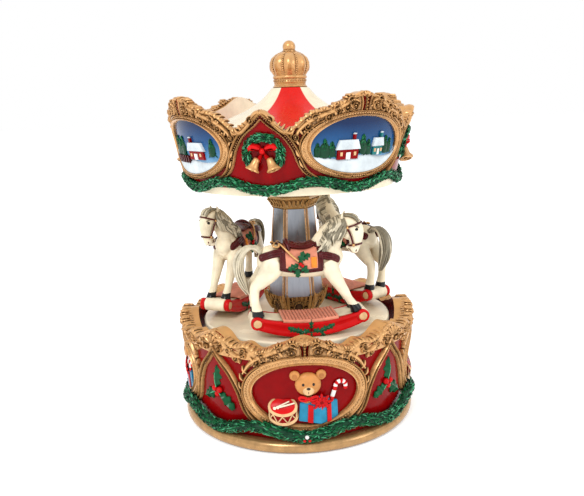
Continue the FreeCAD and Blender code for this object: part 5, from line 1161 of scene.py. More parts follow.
def bells_and_bows():
    """Wreath arches, bows and bells in the pointed panels of the canopy."""
    wall = CANOPY_WALL
    chance = random.Random(3)
    wreath = Sculpt()
    path = [math.radians(-28 + 236 * index / 60) for index in range(61)]
    centres = [wall.point(POINT_MIDDLE + 8.6 * math.cos(turn), 152.6 + 8.4 * math.sin(turn), 1.0)
               for turn in path]
    outward = [wall.outward(POINT_MIDDLE + 8.6 * math.cos(turn)) for turn in path]
    centres, outward = np.array(centres), np.array(outward)
    tangents = unit(np.gradient(centres, axis=0))
    core = np.full(len(centres), 1.5)
    sweep(wreath, centres, unit(np.cross(tangents, outward)), outward, core, core, "green_dark")
    greenery(wreath, centres, outward, 2.6, 330, chance, 3.4)
    wreath.around(PANELS)
    wreath.finish("canopy_wreath_arches", "carousel", "green", ("canopy_wreaths",))

    bow = Sculpt()
    loop = ((0.4, 154.6, 0.7, 2.6), (2.6, 156.0, 1.9, 3.6), (5.2, 156.6, 2.3, 3.9), (6.9, 155.4, 1.7, 3.2),
            (7.3, 154.2, 0.5, 2.2))
    fold = ((0.6, 154.4, 0.5, 3.2), (3.0, 155.0, 0.7, 4.2), (5.2, 155.3, 0.4, 4.2))
    tail = ((0.4, 153.8, 0.7, 2.8), (1.6, 151.6, 1.1, 3.0), (3.4, 149.4, 1.3, 2.8), (3.8, 148.6, 0.5, 2.4))
    for stations, paint, count, sides in ((loop, "red_bright", 16, 10), (fold, "red", 10, 8),
                                          (tail, "red_bright", 14, 8)):
        for side in (-1, 1):
            stroke(bow, wall, [(POINT_MIDDLE + side * arc, *rest) for arc, *rest in stations], paint, count,
                   sides)
    wall_blob(bow, wall, POINT_MIDDLE, 154.4, (1.5, 1.6, 2.0), 2.4, "red_bright", 8, 12)
    bow.around(PANELS)
    bow.finish("canopy_ribbon_bows", "carousel", "red_gloss", ("canopy_bows",))

    bells = Sculpt()
    profile = ((0.5, 0.0), (1.2, 0.2), (1.6, 0.9), (1.8, 2.4), (2.2, 4.2), (3.0, 5.4), (3.5, 6.0),
               (3.5, 6.4), (2.9, 6.5), (2.5, 5.8))
    for side in (-1, 1):
        arc = POINT_MIDDLE + side * 3.0
        top = wall.point(arc, 151.2, 2.0)
        axis = -UP + wall.along(arc) * side * 0.42 + wall.outward(arc) * 0.22
        lathe(bells, top, axis, profile, "gold", 28)
        # A dark blob in the bell's mouth: painted shade inside the bell.
        mouth = top + unit(axis) * 5.9
        blob(bells, mouth, (wall.along(arc), UP, wall.outward(arc)), "gold_dark", 7, 10)
    bells.around(PANELS)
    bells.finish("canopy_hanging_bells", "carousel", "gold", ("canopy_bells",))


# Column and crown


def column_radius(height):
    """The corner radius of the tapered column at a height."""
    share = (height - COLLAR_TOP) / (COLUMN_TOP - COLLAR_TOP)
    return COLUMN_FOOT_RADIUS + share * (COLUMN_TOP_RADIUS - COLUMN_FOOT_RADIUS)


class Facet:
    """A flat side of the column, with places given as on a wall."""

    def __init__(self, angle, foot, foot_reach, lean):
        self.angle = angle
        self.foot = foot
        self.foot_reach = foot_reach
        self.lean = lean

    def point(self, arc, height, rise=0.0):
        reach = self.foot_reach + self.lean * (height - self.foot) + rise
        return polar(reach, self.angle, height) + polar(arc, self.angle + 90.0, 0.0)

    def outward(self, arc):
        return polar(1.0, self.angle, 0.0)

    def along(self, arc):
        return polar(1.0, self.angle + 90.0, 0.0)


HEXAGON_FLAT = math.cos(math.pi / COLUMN_SIDES)
HEXAGON_STEP = 360.0 / COLUMN_SIDES
PANE_ROWS = 11
CAPITAL_LEAVES = 5


def facet_angles():
    """The angles of the column's flat sides."""
    return [COLUMN_TURN + HEXAGON_STEP * (side + 0.5) for side in range(COLUMN_SIDES)]


def column_trim():
    """Slim double ribs on the corners of the column, and the mirror panes between them."""
    ribs = Sculpt()
    for corner in range(COLUMN_SIDES):
        angle = COLUMN_TURN + HEXAGON_STEP * corner
        for turn, inset, size, paint in ((0.0, 0.9, 0.85, "gold_dark"), (-4.4, 0.55, 0.42, "gold"),
                                         (4.4, 0.55, 0.42, "gold")):
            levels = (COLLAR_TOP, (COLLAR_TOP + COLUMN_TOP) / 2, COLUMN_TOP)
            stations = [(*polar(column_radius(level) - inset, angle + turn, level), size, size)
                        for level in levels]
            tube(ribs, stations, paint, 8, 10)
    ribs.finish("column_corner_ribs", "carousel", "gold", ("column_ribs",))

    panes = Sculpt()
    tall = COLUMN_TOP - COLLAR_TOP
    foot_reach, top_reach = (HEXAGON_FLAT * column_radius(level) for level in (COLLAR_TOP, COLUMN_TOP))
    for angle in facet_angles():
        facet = Facet(angle, COLLAR_TOP, foot_reach, (top_reach - foot_reach) / tall)

        def spot(row, share, lift):
            level = COLLAR_TOP + tall * row / (PANE_ROWS - 1)
            half = column_radius(level) / 2 - 0.5
            return facet.point(half * share, level, lift + 0.25 * (1 - share ** 2))

        curved_sheet(panes, spot, (0.15, -0.5), PANE_ROWS, 7, "mirror")
    return panes.finish("column_mirror_panes", "carousel", "mirror", ("mirror_panes",))


def hexagon_reach(angle):
    """How far a hexagon's side is, as a share of its corner radius, at an angle from a corner."""
    offset = (angle % HEXAGON_STEP) - HEXAGON_STEP / 2
    return HEXAGON_FLAT / math.cos(math.radians(offset))


def hexagon_band(sculpt, profile, paint, sides=72):
    """A turned moulding with a six-sided plan, from (corner radius, height)."""
    angles = [360.0 * side / sides for side in range(sides)]
    rings = [[polar(radius * hexagon_reach(angle), COLUMN_TURN + angle, height) for angle in angles]
             for radius, height in profile]
    loft(sculpt, rings, paint)


def column_collar():
    """The carved foot of the column: a six-sided cup with corner leaves and medallions."""
    collar = Sculpt()
    foot, top = PLATFORM_TOP, COLLAR_TOP
    hexagon_band(collar,
                 ((13.4, foot), (13.6, foot + 1.6), (13.0, foot + 2.2), (14.2, foot + 6.0),
                  (16.4, foot + 10.4), (17.2, top - 0.6), (17.2, top), (15.2, top), (14.6, foot + 10.4)),
                 "gold_antique")
    for angle in facet_angles():
        facet = Facet(angle, foot + 2.2, HEXAGON_FLAT * 13.2, HEXAGON_FLAT * 0.38)
        wall_blob(collar, facet, 0.0, foot + 6.2, (2.0, 2.5, 1.1), 0.0, "dark_resin", 8, 14)
        beads(collar, facet,
              [(2.7 * math.cos(math.radians(turn)), foot + 6.2 + 3.2 * math.sin(math.radians(turn)))
               for turn in range(0, 361, 15)], 1.15, 0.5, 0.6, "gold_antique")
        stroke(collar, facet,
               ((2.2, foot + 2.4, 0.5, 1.0), (5.0, foot + 3.6, 0.8, 1.3), (6.0, foot + 6.6, 0.9, 1.4),
                (4.6, foot + 9.4, 0.8, 1.3), (2.6, foot + 10.0, 0.4, 1.0)), "gold_antique", 18, 8,
               mirror=True)
        volute(collar, facet, 5.2, foot + 9.4, 1.7, 1.3, 200.0, 0.5, 1.4, "gold_antique", -1)
        volute(collar, facet, 4.2, foot + 4.6, 1.3, 1.2, 0.0, 0.42, 1.2, "gold_antique", 1)
        for arc in (-6.4, -4.0, -1.4, 1.4, 4.0, 6.4):
            stroke(collar, facet,
                   ((arc * 0.9, foot + 10.4, 0.5, 1.0), (arc, foot + 11.8, 0.9, 1.3),
                    (arc * 1.04, foot + 12.9, 0.4, 0.9)), "gold_antique", 8, 6)
    for corner in range(COLUMN_SIDES):
        angle = COLUMN_TURN + HEXAGON_STEP * corner
        for turn, tall in ((0.0, 2.4), (-7.0, 1.0), (7.0, 1.0)):
            reach = hexagon_reach(turn)
            stations = [(*polar(reach * 14.0, angle + turn * 0.6, foot + 3.0), 0.5, 0.5),
                        (*polar(reach * 16.0, angle + turn * 0.8, foot + 7.0), 1.2, 0.9),
                        (*polar(reach * 17.8, angle + turn, top - 0.6), 1.1, 0.8),
                        (*polar(reach * 18.6, angle + turn * 1.1, top + tall), 0.3, 0.3)]
            tube(collar, stations, "gold_antique", 14, 8, tuple(polar(1.0, angle + 90, 0.0)))
    collar.finish("column_carved_collar", "carousel", "gold", ("column_collar",))

    capital = Sculpt()
    hexagon_band(capital,
                 ((11.8, COLUMN_TOP - 0.2), (12.6, COLUMN_TOP + 0.8), (12.2, COLUMN_TOP + 1.6),
                  (13.2, COLUMN_TOP + 4.2), (14.6, COLUMN_TOP + 5.4), (14.9, COLUMN_TOP + 6.2),
                  (14.4, CAPITAL_TOP - 0.05), (6.0, CAPITAL_TOP - 0.05)), "gold_antique")
    for number in range(COLUMN_SIDES * CAPITAL_LEAVES):
        turn = HEXAGON_STEP / CAPITAL_LEAVES * number
        angle, reach = COLUMN_TURN + turn, hexagon_reach(turn)
        stations = [(*polar(reach * 12.4, angle, COLUMN_TOP + 1.4), 0.5, 0.5),
                    (*polar(reach * 13.2, angle, COLUMN_TOP + 3.4), 1.0, 0.7),
                    (*polar(reach * 14.9, angle, COLUMN_TOP + 5.2), 0.6, 0.5)]
        tube(capital, stations, "gold_antique", 8, 8, tuple(polar(1.0, angle + 90, 0.0)))
    capital.finish("column_carved_capital", "carousel", "gold", ("column_capital",))


def crown():
    """A lobed crown with a beaded band, ribs of beads and a ball."""
    crown_piece = Sculpt()
    foot = CROWN_FOOT

    def lobed(phase, distance):
        swell = abs(math.cos(CROWN_LOBES / 2 * (phase - math.radians(CROWN_TURN))))
        return 0.88 + 0.12 * swell if distance > CROWN_BAND else 1.0

    profile = ((9.2, 0.0), (9.5, 0.5), (9.2, 1.0), (8.7, 1.3), (8.7, 2.6), (9.0, 2.9), (8.7, 3.2),
               (8.7, 4.6), (9.2, 5.0), (9.4, 5.6), (9.2, 6.2), (8.8, 6.6), (10.0, 8.4), (10.9, 11.0),
               (10.9, 13.4), (9.9, 15.8), (7.6, 17.8), (4.8, 18.9), (2.8, 19.3), (2.8, 19.8))
    lathe(crown_piece, (0, 0, foot), (0, 0, 1), profile, "gold", 96, lobed)
    ball(crown_piece, (0, 0, foot + 21.6), (3.5, 3.5, 3.5), "gold", 14, 22)
    lathe(crown_piece, (0, 0, foot), (0, 0, 1), ((2.6, 19.2), (3.6, 19.4), (3.6, 19.9), (2.6, 20.1)),
          "gold", 24)
    for bead in range(36):
        spot = polar(8.7, 10.0 * bead, foot + 3.9)
        ball(crown_piece, spot, (0.55, 0.55, 0.5), "gold", 5, 8)
    arch = np.array([(radius, height) for radius, height in profile if height >= CROWN_BAND][:-1])
    for lobe in range(CROWN_LOBES):
        middle = 360.0 * lobe / CROWN_LOBES + CROWN_TURN
        for step in range(17):
            share = step / 16 * (len(arch) - 1)
            radius = np.interp(share, range(len(arch)), arch[:, 0])
            height = np.interp(share, range(len(arch)), arch[:, 1])
            size = 0.72 - 0.02 * step
            spot = polar(radius * 0.915, middle + 180.0 / CROWN_LOBES, foot + height)
            ball(crown_piece, spot, (size, size, size), "gold", 5, 8)
        side, outward = polar(1.0, middle + 90, 0.0), polar(1.0, middle, 0.0)
        # A soft darker oval on each lobe: painted shade.
        blob(crown_piece, polar(9.7, middle, foot + 11.4), (side * 1.6, UP * 3.0, outward * 1.3),
             "gold_soft", 10, 16)
    return crown_piece.finish("crown_ornament", "carousel", "gold", ("crown_finial",))


# Rocking horses, in their own frame: x forward, -y outward, z above the platform

TORSO = ((-25.6, 42.6, 2.4, 3.2), (-23.5, 42.0, 5.4, 6.0), (-18.0, 41.0, 7.4, 7.9), (-10.0, 39.2, 7.4, 7.9),
         (-2.0, 38.3, 7.2, 7.8), (6.0, 39.0, 7.3, 8.6), (12.5, 40.2, 6.4, 8.2), (17.0, 40.6, 3.6, 5.2))
NECK = ((8.0, 42.5, 5.8, 8.8), (11.0, 48.5, 4.9, 7.8), (14.5, 54.0, 4.2, 6.2), (18.5, 58.0, 3.7, 4.8))
HEAD = ((18.0, 57.8, 3.3, 4.2), (22.0, 58.4, 3.9, 4.6), (25.4, 56.0, 3.8, 4.6), (26.2, 52.0, 3.2, 3.9),
        (25.8, 48.0, 2.6, 3.0), (25.0, 44.8, 2.3, 2.6), (24.4, 43.2, 1.5, 1.8))
HIND_LEG = ((-16.5, 41.5, 3.9, 6.8), (-20.6, 35.4, 4.0, 5.6), (-25.2, 30.4, 3.0, 3.9),
            (-28.2, 27.4, 2.4, 2.9), (-28.6, 22.0, 2.1, 2.3), (-28.0, 17.2, 2.3, 2.5),
            (-27.4, 14.0, 2.8, 3.0), (-27.0, 11.4, 3.1, 3.4))
FORE_LEG = ((9.5, 40.0, 3.8, 5.8), (12.6, 33.0, 3.6, 4.5), (16.2, 26.6, 2.9, 3.3), (18.6, 22.8, 2.6, 2.8),
            (21.0, 18.6, 2.1, 2.2), (23.2, 15.2, 2.3, 2.4), (24.8, 12.8, 2.8, 3.0), (25.4, 11.3, 3.1, 3.3))
LEG_SPREAD = 4.6
HOOF_TOP = 15.4
HEAD_TURN = -22.0
HEAD_PIVOT = 11.5
NECK_PLACE = (12.0, 50.0)
NECK_SLOPE = (0.6, 0.8)
NECK_BLEND = 4.0
BLANKET_BACK = -15.0
BLANKET_FRONT = 6.6
BLANKET_REACH = 112.0
BLANKET_ROWS = 25
HAIR_PAINTS = ("mane", "mane_light")
ALONG_X = (1.0, 0.0, 0.0)


def in_plane(stations, side):
    """Stations moved to a plane beside the horse's middle."""
    return [(forward, side, height, width, depth) for forward, height, width, depth in stations]


def horse_mesh():
    """The horse's body in one skin, with black hooves."""
    body = Sculpt()
    tube(body, in_plane(TORSO, 0.0), "ivory", 40, 20)
    tube(body, in_plane(NECK, 0.0), "ivory", 24, 16)
    tube(body, in_plane(HEAD, 0.0), "ivory", 28, 16)
    ball(body, (22.4, 0, 54.0), (3.9, 3.5, 4.2), "ivory", 10, 16)
    blob(body, (25.0, 0, 44.6), ((2.8, 0, 0.4), (0, 2.6, 0), (0, 0, 2.3)), "ivory", 10, 16)
    ball(body, (22.6, 0, 45.8), (1.8, 1.7, 1.3), "ivory", 8, 12)
    ball(body, (15.0, 0, 41.0), (4.4, 5.4, 5.6), "ivory", 10, 16)
    ball(body, (26.6, 0, 58.4), (2.6, 2.8, 2.2), "ivory", 10, 16)
    for side in (-1, 1):
        tube(body, in_plane(HIND_LEG, side * LEG_SPREAD), "ivory", 34, 14)
        tube(body, in_plane(FORE_LEG, side * LEG_SPREAD), "ivory", 34, 14)
        ball(body, (-18.5, side * 4.2, 40.0), (6.0, 4.2, 7.2), "ivory", 10, 16)
        ball(body, (11.4, side * 4.0, 38.6), (4.6, 3.6, 6.6), "ivory", 10, 16)
        tube(body,
             ((19.6, side * 2.0, 60.0, 1.3, 0.9), (19.4, side * 2.7, 62.6, 1.1, 0.8),
              (20.2, side * 3.0, 65.0, 0.2, 0.2)), "ivory", 10, 8)
        ball(body, (26.2, side * 3.0, 56.4), (1.5, 1.0, 1.0), "ivory", 7, 10)
    mesh = remeshed(body, "horse_skin")
    mesh.materials.clear()
    for paint in ("ivory", "black"):
        mesh.materials.append(MATERIALS[paint])
    mesh.polygons.foreach_set("material_index",
                              [int(face.center.z < HOOF_TOP * MM) for face in mesh.polygons])
    return turn_head(mesh)


def turn_head(mesh):
    """Turns the head outwards, about an upright axis through the neck."""
    points = np.empty(3 * len(mesh.vertices))
    mesh.vertices.foreach_get("co", points)
    points = points.reshape(-1, 3)
    forward, height = points[:, 0] / MM, points[:, 2] / MM
    beyond = NECK_SLOPE[0] * (forward - NECK_PLACE[0]) + NECK_SLOPE[1] * (height - NECK_PLACE[1])
    share = np.clip((beyond + NECK_BLEND / 4) / NECK_BLEND, 0.0, 1.0)
    turn = np.radians(HEAD_TURN) * share * share * (3 - 2 * share)
    reach = points[:, 0] - HEAD_PIVOT * MM
    side = points[:, 1].copy()
    points[:, 0] = HEAD_PIVOT * MM + reach * np.cos(turn) - side * np.sin(turn)
    points[:, 1] = reach * np.sin(turn) + side * np.cos(turn)
    mesh.vertices.foreach_set("co", points.ravel())
    mesh.update()
    return mesh


def horse_hair(index):
    """Mane, forelock, tail, eyes, brows, nostrils and mouth."""
    chance = random.Random(11 + index)
    hair = Sculpt()
    crest = smooth_path(((19.4, 61.9, 3.4), (16.4, 61.6, 3.7), (12.4, 58.8, 4.1), (8.6, 54.6, 4.7),
                         (5.6, 50.4, 5.4)), 24)
    tube(hair, [(forward, 0.0, height - 0.6, 1.5, 1.5) for forward, height, _ in crest], "mane", 26, 10)
    for forward, height, half in crest:
        for side in (-1, 1):
            for layer, fall in enumerate((12.0, 8.5, 5.5)):
                drift = chance.uniform(-1.0, 1.0)
                out = half + 0.7 + 0.35 * layer
                thick = chance.uniform(0.55, 0.8)
                stations = ((forward, side * 0.5, height + 0.4, thick, thick),
                            (forward + 1.4 + drift * 0.4, side * out * 0.8, height - 1.6, thick, thick),
                            (forward + 2.0 + drift, side * (out + 0.3), height - fall * 0.5, thick, thick),
                            (forward + 0.6 + drift, side * (out + 0.5), height - fall * 0.8, thick * 0.8,
                             thick * 0.8),
                            (forward - 0.8 + drift, side * (out + 0.3), height - fall, 0.2, 0.2))
                tube(hair, stations, chance.choice(HAIR_PAINTS), 13, 6, ALONG_X)
    for strand in range(5):
        side = (strand - 2) * 0.9
        tube(hair,
             ((18.6, side * 0.6, 62.4, 0.9, 0.8), (22.6, side, 63.0, 1.0, 0.8),
              (26.2, side * 1.2, 61.8, 0.9, 0.7), (28.6 - abs(side) * 0.4, side * 1.3, 58.8, 0.25, 0.25)),
             chance.choice(HAIR_PAINTS), 12, 7)
    tail = np.array(((-23.6, 45.2), (-27.6, 48.0), (-32.2, 47.2), (-35.4, 42.6), (-36.0, 36.0),
                     (-34.2, 29.4), (-31.6, 23.6)))
    spread = (1.2, 1.8, 2.4, 3.0, 3.2, 2.8, 0.9)
    paints = ("mane_light",) * 3 if index == 0 else ("mane", "mane", "mane_light")
    for strand in range(16):
        turn = 2 * math.pi * strand / 16
        sway = chance.uniform(-0.5, 0.5)
        stations = []
        for spot, ((forward, height), reach) in enumerate(zip(tail, spread)):
            wave = 0.5 * math.sin(1.5 * spot + strand)
            stations.append((forward + reach * 0.72 * math.cos(turn) + wave * 0.5,
                             reach * math.sin(turn) + wave + sway, height + 0.3 * wave, 1.15 - 0.12 * spot,
                             0.95 - 0.1 * spot))
        tube(hair, stations, chance.choice(paints), 22, 7)
    tube(hair,
         [(forward, 0.0, height, reach * 0.75, reach * 0.6)
          for (forward, height), reach in zip(tail, spread)], paints[0], 22, 10)
    for side in (-1, 1):
        ball(hair, (27.0, side * 3.45, 56.0), (0.95, 0.6, 0.85), "black", 7, 10)
        tube(hair,
             ((25.6, side * 3.3, 57.2, 0.22, 0.22), (27.0, side * 3.6, 57.5, 0.26, 0.26),
              (28.4, side * 3.1, 56.9, 0.2, 0.2)), "mane", 8, 6)
        blob(hair, (26.4, side * 1.85, 44.6), ((0.55, 0, 0.2), (0, 0.4, 0), (0, 0, 0.7)), "maroon", 6, 8)
        tube(hair,
             ((26.0, side * 1.2, 42.6, 0.2, 0.2), (24.0, side * 2.25, 44.2, 0.22, 0.22),
              (22.4, side * 2.2, 46.0, 0.18, 0.18)), "maroon", 9, 6)
    return turn_head(hair.mesh("horse_hair_%d" % (index + 1)))


def torso_section(forward):
    """The middle height, half width and half depth of the barrel at a place."""
    path = np.array(TORSO)
    return [np.interp(forward, path[:, 0], path[:, column]) for column in (1, 2, 3)]


def over_back(forward, turn, lift):
    """A place on the horse's barrel, by an angle from the top of its back towards -y."""
    height, width, depth = torso_section(forward)
    angle = math.radians(turn)
    return np.array((forward, -(width + lift) * math.sin(angle), height + (depth + lift) * math.cos(angle)))


def tack_mesh():
    """Saddle, blanket, straps and bridle."""
    tack = Sculpt()
    for start, end, reach, lift, paint in ((BLANKET_BACK, BLANKET_FRONT, BLANKET_REACH, 1.3, "maroon"),
                                           (-12.4, 4.2, 101.0, 1.55, "salmon")):
        def spot(row, share, height):
            forward, turn = start + (end - start) * row / (BLANKET_ROWS - 1), reach * share
            ripple = 0.12 * math.sin(turn * 0.35) * math.sin(forward * 0.9)
            return over_back(forward, turn, height + ripple)

        curved_sheet(tack, spot, (lift, 0.1), BLANKET_ROWS, 41, paint)
    for side in (-1, 1):
        edge = [(*over_back(forward, side * BLANKET_REACH, 1.2), 0.6, 0.6)
                for forward in (BLANKET_BACK, -10.0, -4.0, 2.0, BLANKET_FRONT)]
        tube(tack, edge, "maroon", 20, 8)
        patch = [over_back(2.2, side * turn, 1.9) for turn in (66.0, 82.0, 97.0)]
        tube(tack, [(*spot, 1.5, 0.5) for spot in patch], "orange", 12, 8, ALONG_X)
    for forward in (BLANKET_BACK, BLANKET_FRONT):
        tube(tack,
             [(*over_back(forward, turn, 1.2), 0.6, 0.6)
              for turn in np.linspace(-BLANKET_REACH, BLANKET_REACH, 15)], "maroon", 44, 8, ALONG_X)
    saddle_seat(tack)
    saddle_holly(tack)
    body_straps(tack)
    bridle(tack)
    return turn_head(tack.mesh("horse_tack"))


def saddle_seat(tack):
    """A leather seat with a tall cantle and a pommel."""
    seat = ((-11.0, 48.0, 4.8, 1.0), (-9.0, 48.4, 6.0, 2.0), (-5.0, 47.6, 6.0, 1.8), (-1.0, 47.4, 5.6, 1.8),
            (3.0, 48.4, 4.4, 1.8), (4.6, 49.4, 2.4, 1.0))
    tube(tack, in_plane(seat, 0.0), "maroon", 34, 16)
    cantle = ((-10.2, 5.8, 46.4, 0.9), (-10.8, 3.4, 49.6, 1.2), (-11.0, 0.0, 50.6, 1.3))
    pommel = ((3.8, 4.4, 46.6, 0.7), (4.8, 2.0, 49.6, 0.9), (5.0, 0.0, 50.4, 1.0))
    for half in (cantle, pommel):
        left = [(forward, -side, height, thick, thick) for forward, side, height, thick in half]
        right = [(forward, side, height, thick, thick) for forward, side, height, thick in half[-2::-1]]
        tube(tack, left + right, "maroon", 22, 10, ALONG_X)
    ball(tack, (5.0, 0.0, 51.0), (1.2, 1.2, 0.9), "maroon", 8, 12)


def saddle_holly(tack):
    """Holly and a gold cord on both sides of the blanket."""
    for side in (-1, 1):
        for forward, turn, tilt, length in ((-5.4, 84.0, 20.0, 6.0), (-5.0, 84.0, 140.0, 5.4),
                                            (-6.0, 86.0, -115.0, 5.2), (-4.2, 70.0, 60.0, 4.6),
                                            (-6.6, 98.0, 175.0, 4.4)):
            spot = over_back(forward, side * turn, 1.7)
            outward = unit(over_back(forward, side * turn, 2.7) - spot)
            lean = math.radians(tilt)
            down = unit(np.cross(outward, ALONG_X))
            down = down if down[2] < 0 else -down
            along = np.array(ALONG_X) * math.sin(lean) - down * math.cos(lean)
            leaf(tack, spot, along, np.cross(outward, along), outward, length * 1.15, 3.8, "holly", 3, 0.12)
        for forward, turn in ((-5.0, 84.0), (-4.0, 88.0)):
            ball(tack, over_back(forward, side * turn, 2.6), (0.9, 0.9, 0.9), "red_bright", 7, 10)
        curl = [(-17.4, 22.0, 1.6), (-18.2, 32.0, 1.7), (-16.8, 38.0, 1.8), (-15.2, 32.0, 2.0),
                (-15.0, 22.0, 2.2), (-13.4, 34.0, 2.4), (-11.2, 50.0, 2.6), (-8.6, 64.0, 2.6),
                (-6.0, 76.0, 2.4)]
        tube(tack, [(*over_back(forward, side * turn, lift), 0.55, 0.55) for forward, turn, lift in curl],
             "gold", 40, 8)


def body_straps(tack):
    """Ribbed straps from the blanket to the chest and over the rump."""
    for side in (-1, 1):
        rear = [(-13.5, 50.0), (-17.5, 58.0), (-21.5, 68.0), (-24.4, 80.0)]
        front = [(5.8, 62.0), (9.2, 70.0), (12.6, 80.0), (15.4, 92.0)]
        for path in (rear, front):
            band = [(*over_back(forward, side * turn, 0.7), 2.1, 0.9) for forward, turn in path]
            hint = np.array(band[-1][:3]) - np.array(band[0][:3])
            forward, turn = path[1]
            normal = over_back(forward, side * turn, 3.0) - over_back(forward, side * turn, 0.0)
            across = unit(np.cross(hint, normal))
            tube(tack, band, "maroon", 18, 12, tuple(across))
            for offset in (-1.25, 0.0, 1.25):
                rib = [(*(over_back(forward, side * turn, 1.35) + across * offset), 0.55, 0.5)
                       for forward, turn in path]
                tube(tack, rib, "maroon", 16, 8, tuple(across))
            for end in (0, -1):
                blob(tack, np.array(band[end][:3]), (across * 2.1, unit(hint) * 1.4, unit(normal) * 1.3),
                     "maroon", 8, 12)


def bridle(tack):
    """Noseband, browband, and cheek straps with gold rosettes."""
    def loop(centre, first, second, thick):
        centre, first, second = np.array(centre), np.array(first), np.array(second)
        turns = np.linspace(0.0, 2 * math.pi, 25)
        spots = [centre + first * math.cos(turn) + second * math.sin(turn) for turn in turns]
        tube(tack, [(*spot, thick, thick) for spot in spots], "maroon", 50, 6)

    loop((25.7, 0.0, 47.6), (3.5, 0.0, 0.5), (0.0, 3.0, 0.0), 0.45)
    loop((24.2, 0.0, 57.6), (5.0, 0.0, 1.8), (0.0, 4.2, 0.0), 0.45)
    for side in (-1, 1):
        tube(tack,
             ((21.0, side * 3.9, 58.4, 0.5, 0.4), (23.6, side * 4.1, 54.0, 0.5, 0.4),
              (25.2, side * 3.1, 48.0, 0.5, 0.4)), "maroon", 14, 6, ALONG_X)
        ball(tack, (25.4, side * 3.1, 47.6), (0.8, 0.6, 0.8), "gold", 7, 10)
        ball(tack, (22.4, side * 4.2, 56.8), (0.8, 0.5, 0.8), "gold", 7, 10)


RAIL_SIDE = 7.5
RAIL_HALF_WIDTH = 1.3
ROCKER_HALF_LENGTH = 28.0
BOARD_SIDE = 6.3
MAT_HALF_LENGTH = 14.0
MAT_SLATS = 17


def arc_height(forward, ends, middle, half_length=ROCKER_HALF_LENGTH):
    """The height of a circular rocker arc, from its height at the ends and in the middle."""
    rise = ends - middle
    radius = (half_length ** 2 + rise ** 2) / (2 * rise)
    return middle + radius - math.sqrt(radius ** 2 - forward ** 2)


def board_top(forward):
    """The height of the board's upper side, which the mat lies on."""
    return arc_height(forward, 11.8, 8.6)


def rocker_mesh():
    """A red rocker with scroll ends, a cream board with rolled ends and a slatted mat."""
    rocker = Sculpt()
    stops = np.linspace(-ROCKER_HALF_LENGTH, ROCKER_HALF_LENGTH, 41)
    for side in (-1, 1):
        centres, rises = [], []
        for forward in stops:
            low, high = arc_height(forward, 6.0, 0.1), arc_height(forward, 12.2, 8.0)
            centres.append(np.array((forward, side * RAIL_SIDE, (low + high) / 2)))
            rises.append((high - low) / 2)
        rail_bar(rocker, centres, rises)
        for end in (-1, 1):
            spot = np.array((end * ROCKER_HALF_LENGTH, side * RAIL_SIDE, 9.2))
            axis = np.array((0.0, side, 0.0))
            lathe(rocker, spot - axis * RAIL_HALF_WIDTH, axis,
                  ((3.3, 0.0), (3.45, 0.4), (3.45, 2.3), (3.1, 2.7), (2.5, 2.75), (2.2, 2.3)), "red_bright",
                  28)
            lathe(rocker, spot + axis * 0.6, axis, ((2.3, 0.0), (2.2, 0.6), (1.6, 0.9), (0.5, 0.75)),
                  "tan_light", 24)
            lathe(rocker, spot - axis * RAIL_HALF_WIDTH, -axis, ((3.3, 0.0), (2.6, 0.05)), "red_bright", 24)
        rocker_holly(rocker, side)
    board(rocker, stops)
    for end in (-1, 1):
        lathe(rocker, (end * ROCKER_HALF_LENGTH, -6.15, 9.3), (0, 1, 0),
              ((3.2, 0.0), (3.6, 0.3), (3.6, 12.0), (3.2, 12.3)), "ivory", 28)
    for forward in np.linspace(-MAT_HALF_LENGTH, MAT_HALF_LENGTH, MAT_SLATS):
        height = board_top(forward) + 0.7
        tube(rocker,
             ((forward, -8.7, height, 0.86, 0.8), (forward, -4.0, height + 0.15, 0.86, 0.8),
              (forward, 4.0, height + 0.15, 0.86, 0.8), (forward, 8.7, height, 0.86, 0.8)), "salmon", 9, 8,
             ALONG_X)
    for side in (-8.6, 8.6):
        tube(rocker,
             [(forward, side, board_top(forward) + 0.3, 0.5, 0.9)
              for forward in (-14.6, -7.0, 0.0, 7.0, 14.6)], "salmon", 20, 8)
    return rocker.mesh("rocker_detail")


def rail_bar(rocker, centres, rises):
    """A red rail with rounded edges and a shallow groove on its faces."""
    quarter = [(0.8, 0.4), (1.0, 0.5), (1.0, 0.86), (0.8, 1.0)]
    right = [(across, -up) for across, up in reversed(quarter)] + quarter
    outline = right + [(-across, -up) for across, up in right]
    rings = [[centre + np.array((0.0, RAIL_HALF_WIDTH * across, rise * up)) for across, up in outline]
             for centre, rise in zip(centres, rises)]
    loft(rocker, rings, "red_bright")


def board(rocker, stops):
    """The curved cream board between the rails."""
    rings = []
    for forward in stops:
        low, high = arc_height(forward, 7.0, 2.0), board_top(forward)
        rings.append([(forward, -BOARD_SIDE, low), (forward, BOARD_SIDE, low), (forward, BOARD_SIDE, high),
                      (forward, -BOARD_SIDE, high)])
    loft(rocker, rings, "ivory")


def rocker_holly(rocker, side):
    """A row of holly leaves along the middle of a rail."""
    outward = np.array((0.0, side, 0.0))
    for forward, lift, tilt, length in ((0.0, 4.6, 0.0, 4.4), (-0.4, 3.6, -100.0, 4.6),
                                        (0.6, 3.6, 100.0, 4.6), (-4.6, 3.4, -75.0, 4.4),
                                        (-8.0, 3.8, -60.0, 4.2), (4.8, 3.4, 75.0, 4.4),
                                        (8.2, 3.9, 60.0, 4.2), (0.0, 3.0, 180.0, 2.6),
                                        (-4.0, 2.8, -125.0, 3.4), (4.2, 2.8, 125.0, 3.4)):
        lean = math.radians(tilt)
        along = np.array((math.sin(lean), 0.0, math.cos(lean)))
        root = np.array((forward, side * 8.55, lift))
        leaf(rocker, root, along, np.cross(outward, along), outward, length * 1.2, 3.4, "holly", 3, 0.1)
    for forward, lift in ((-0.7, 3.9), (0.7, 3.9)):
        ball(rocker, (forward, side * 9.0, lift), (0.6, 0.5, 0.6), "red", 6, 8)


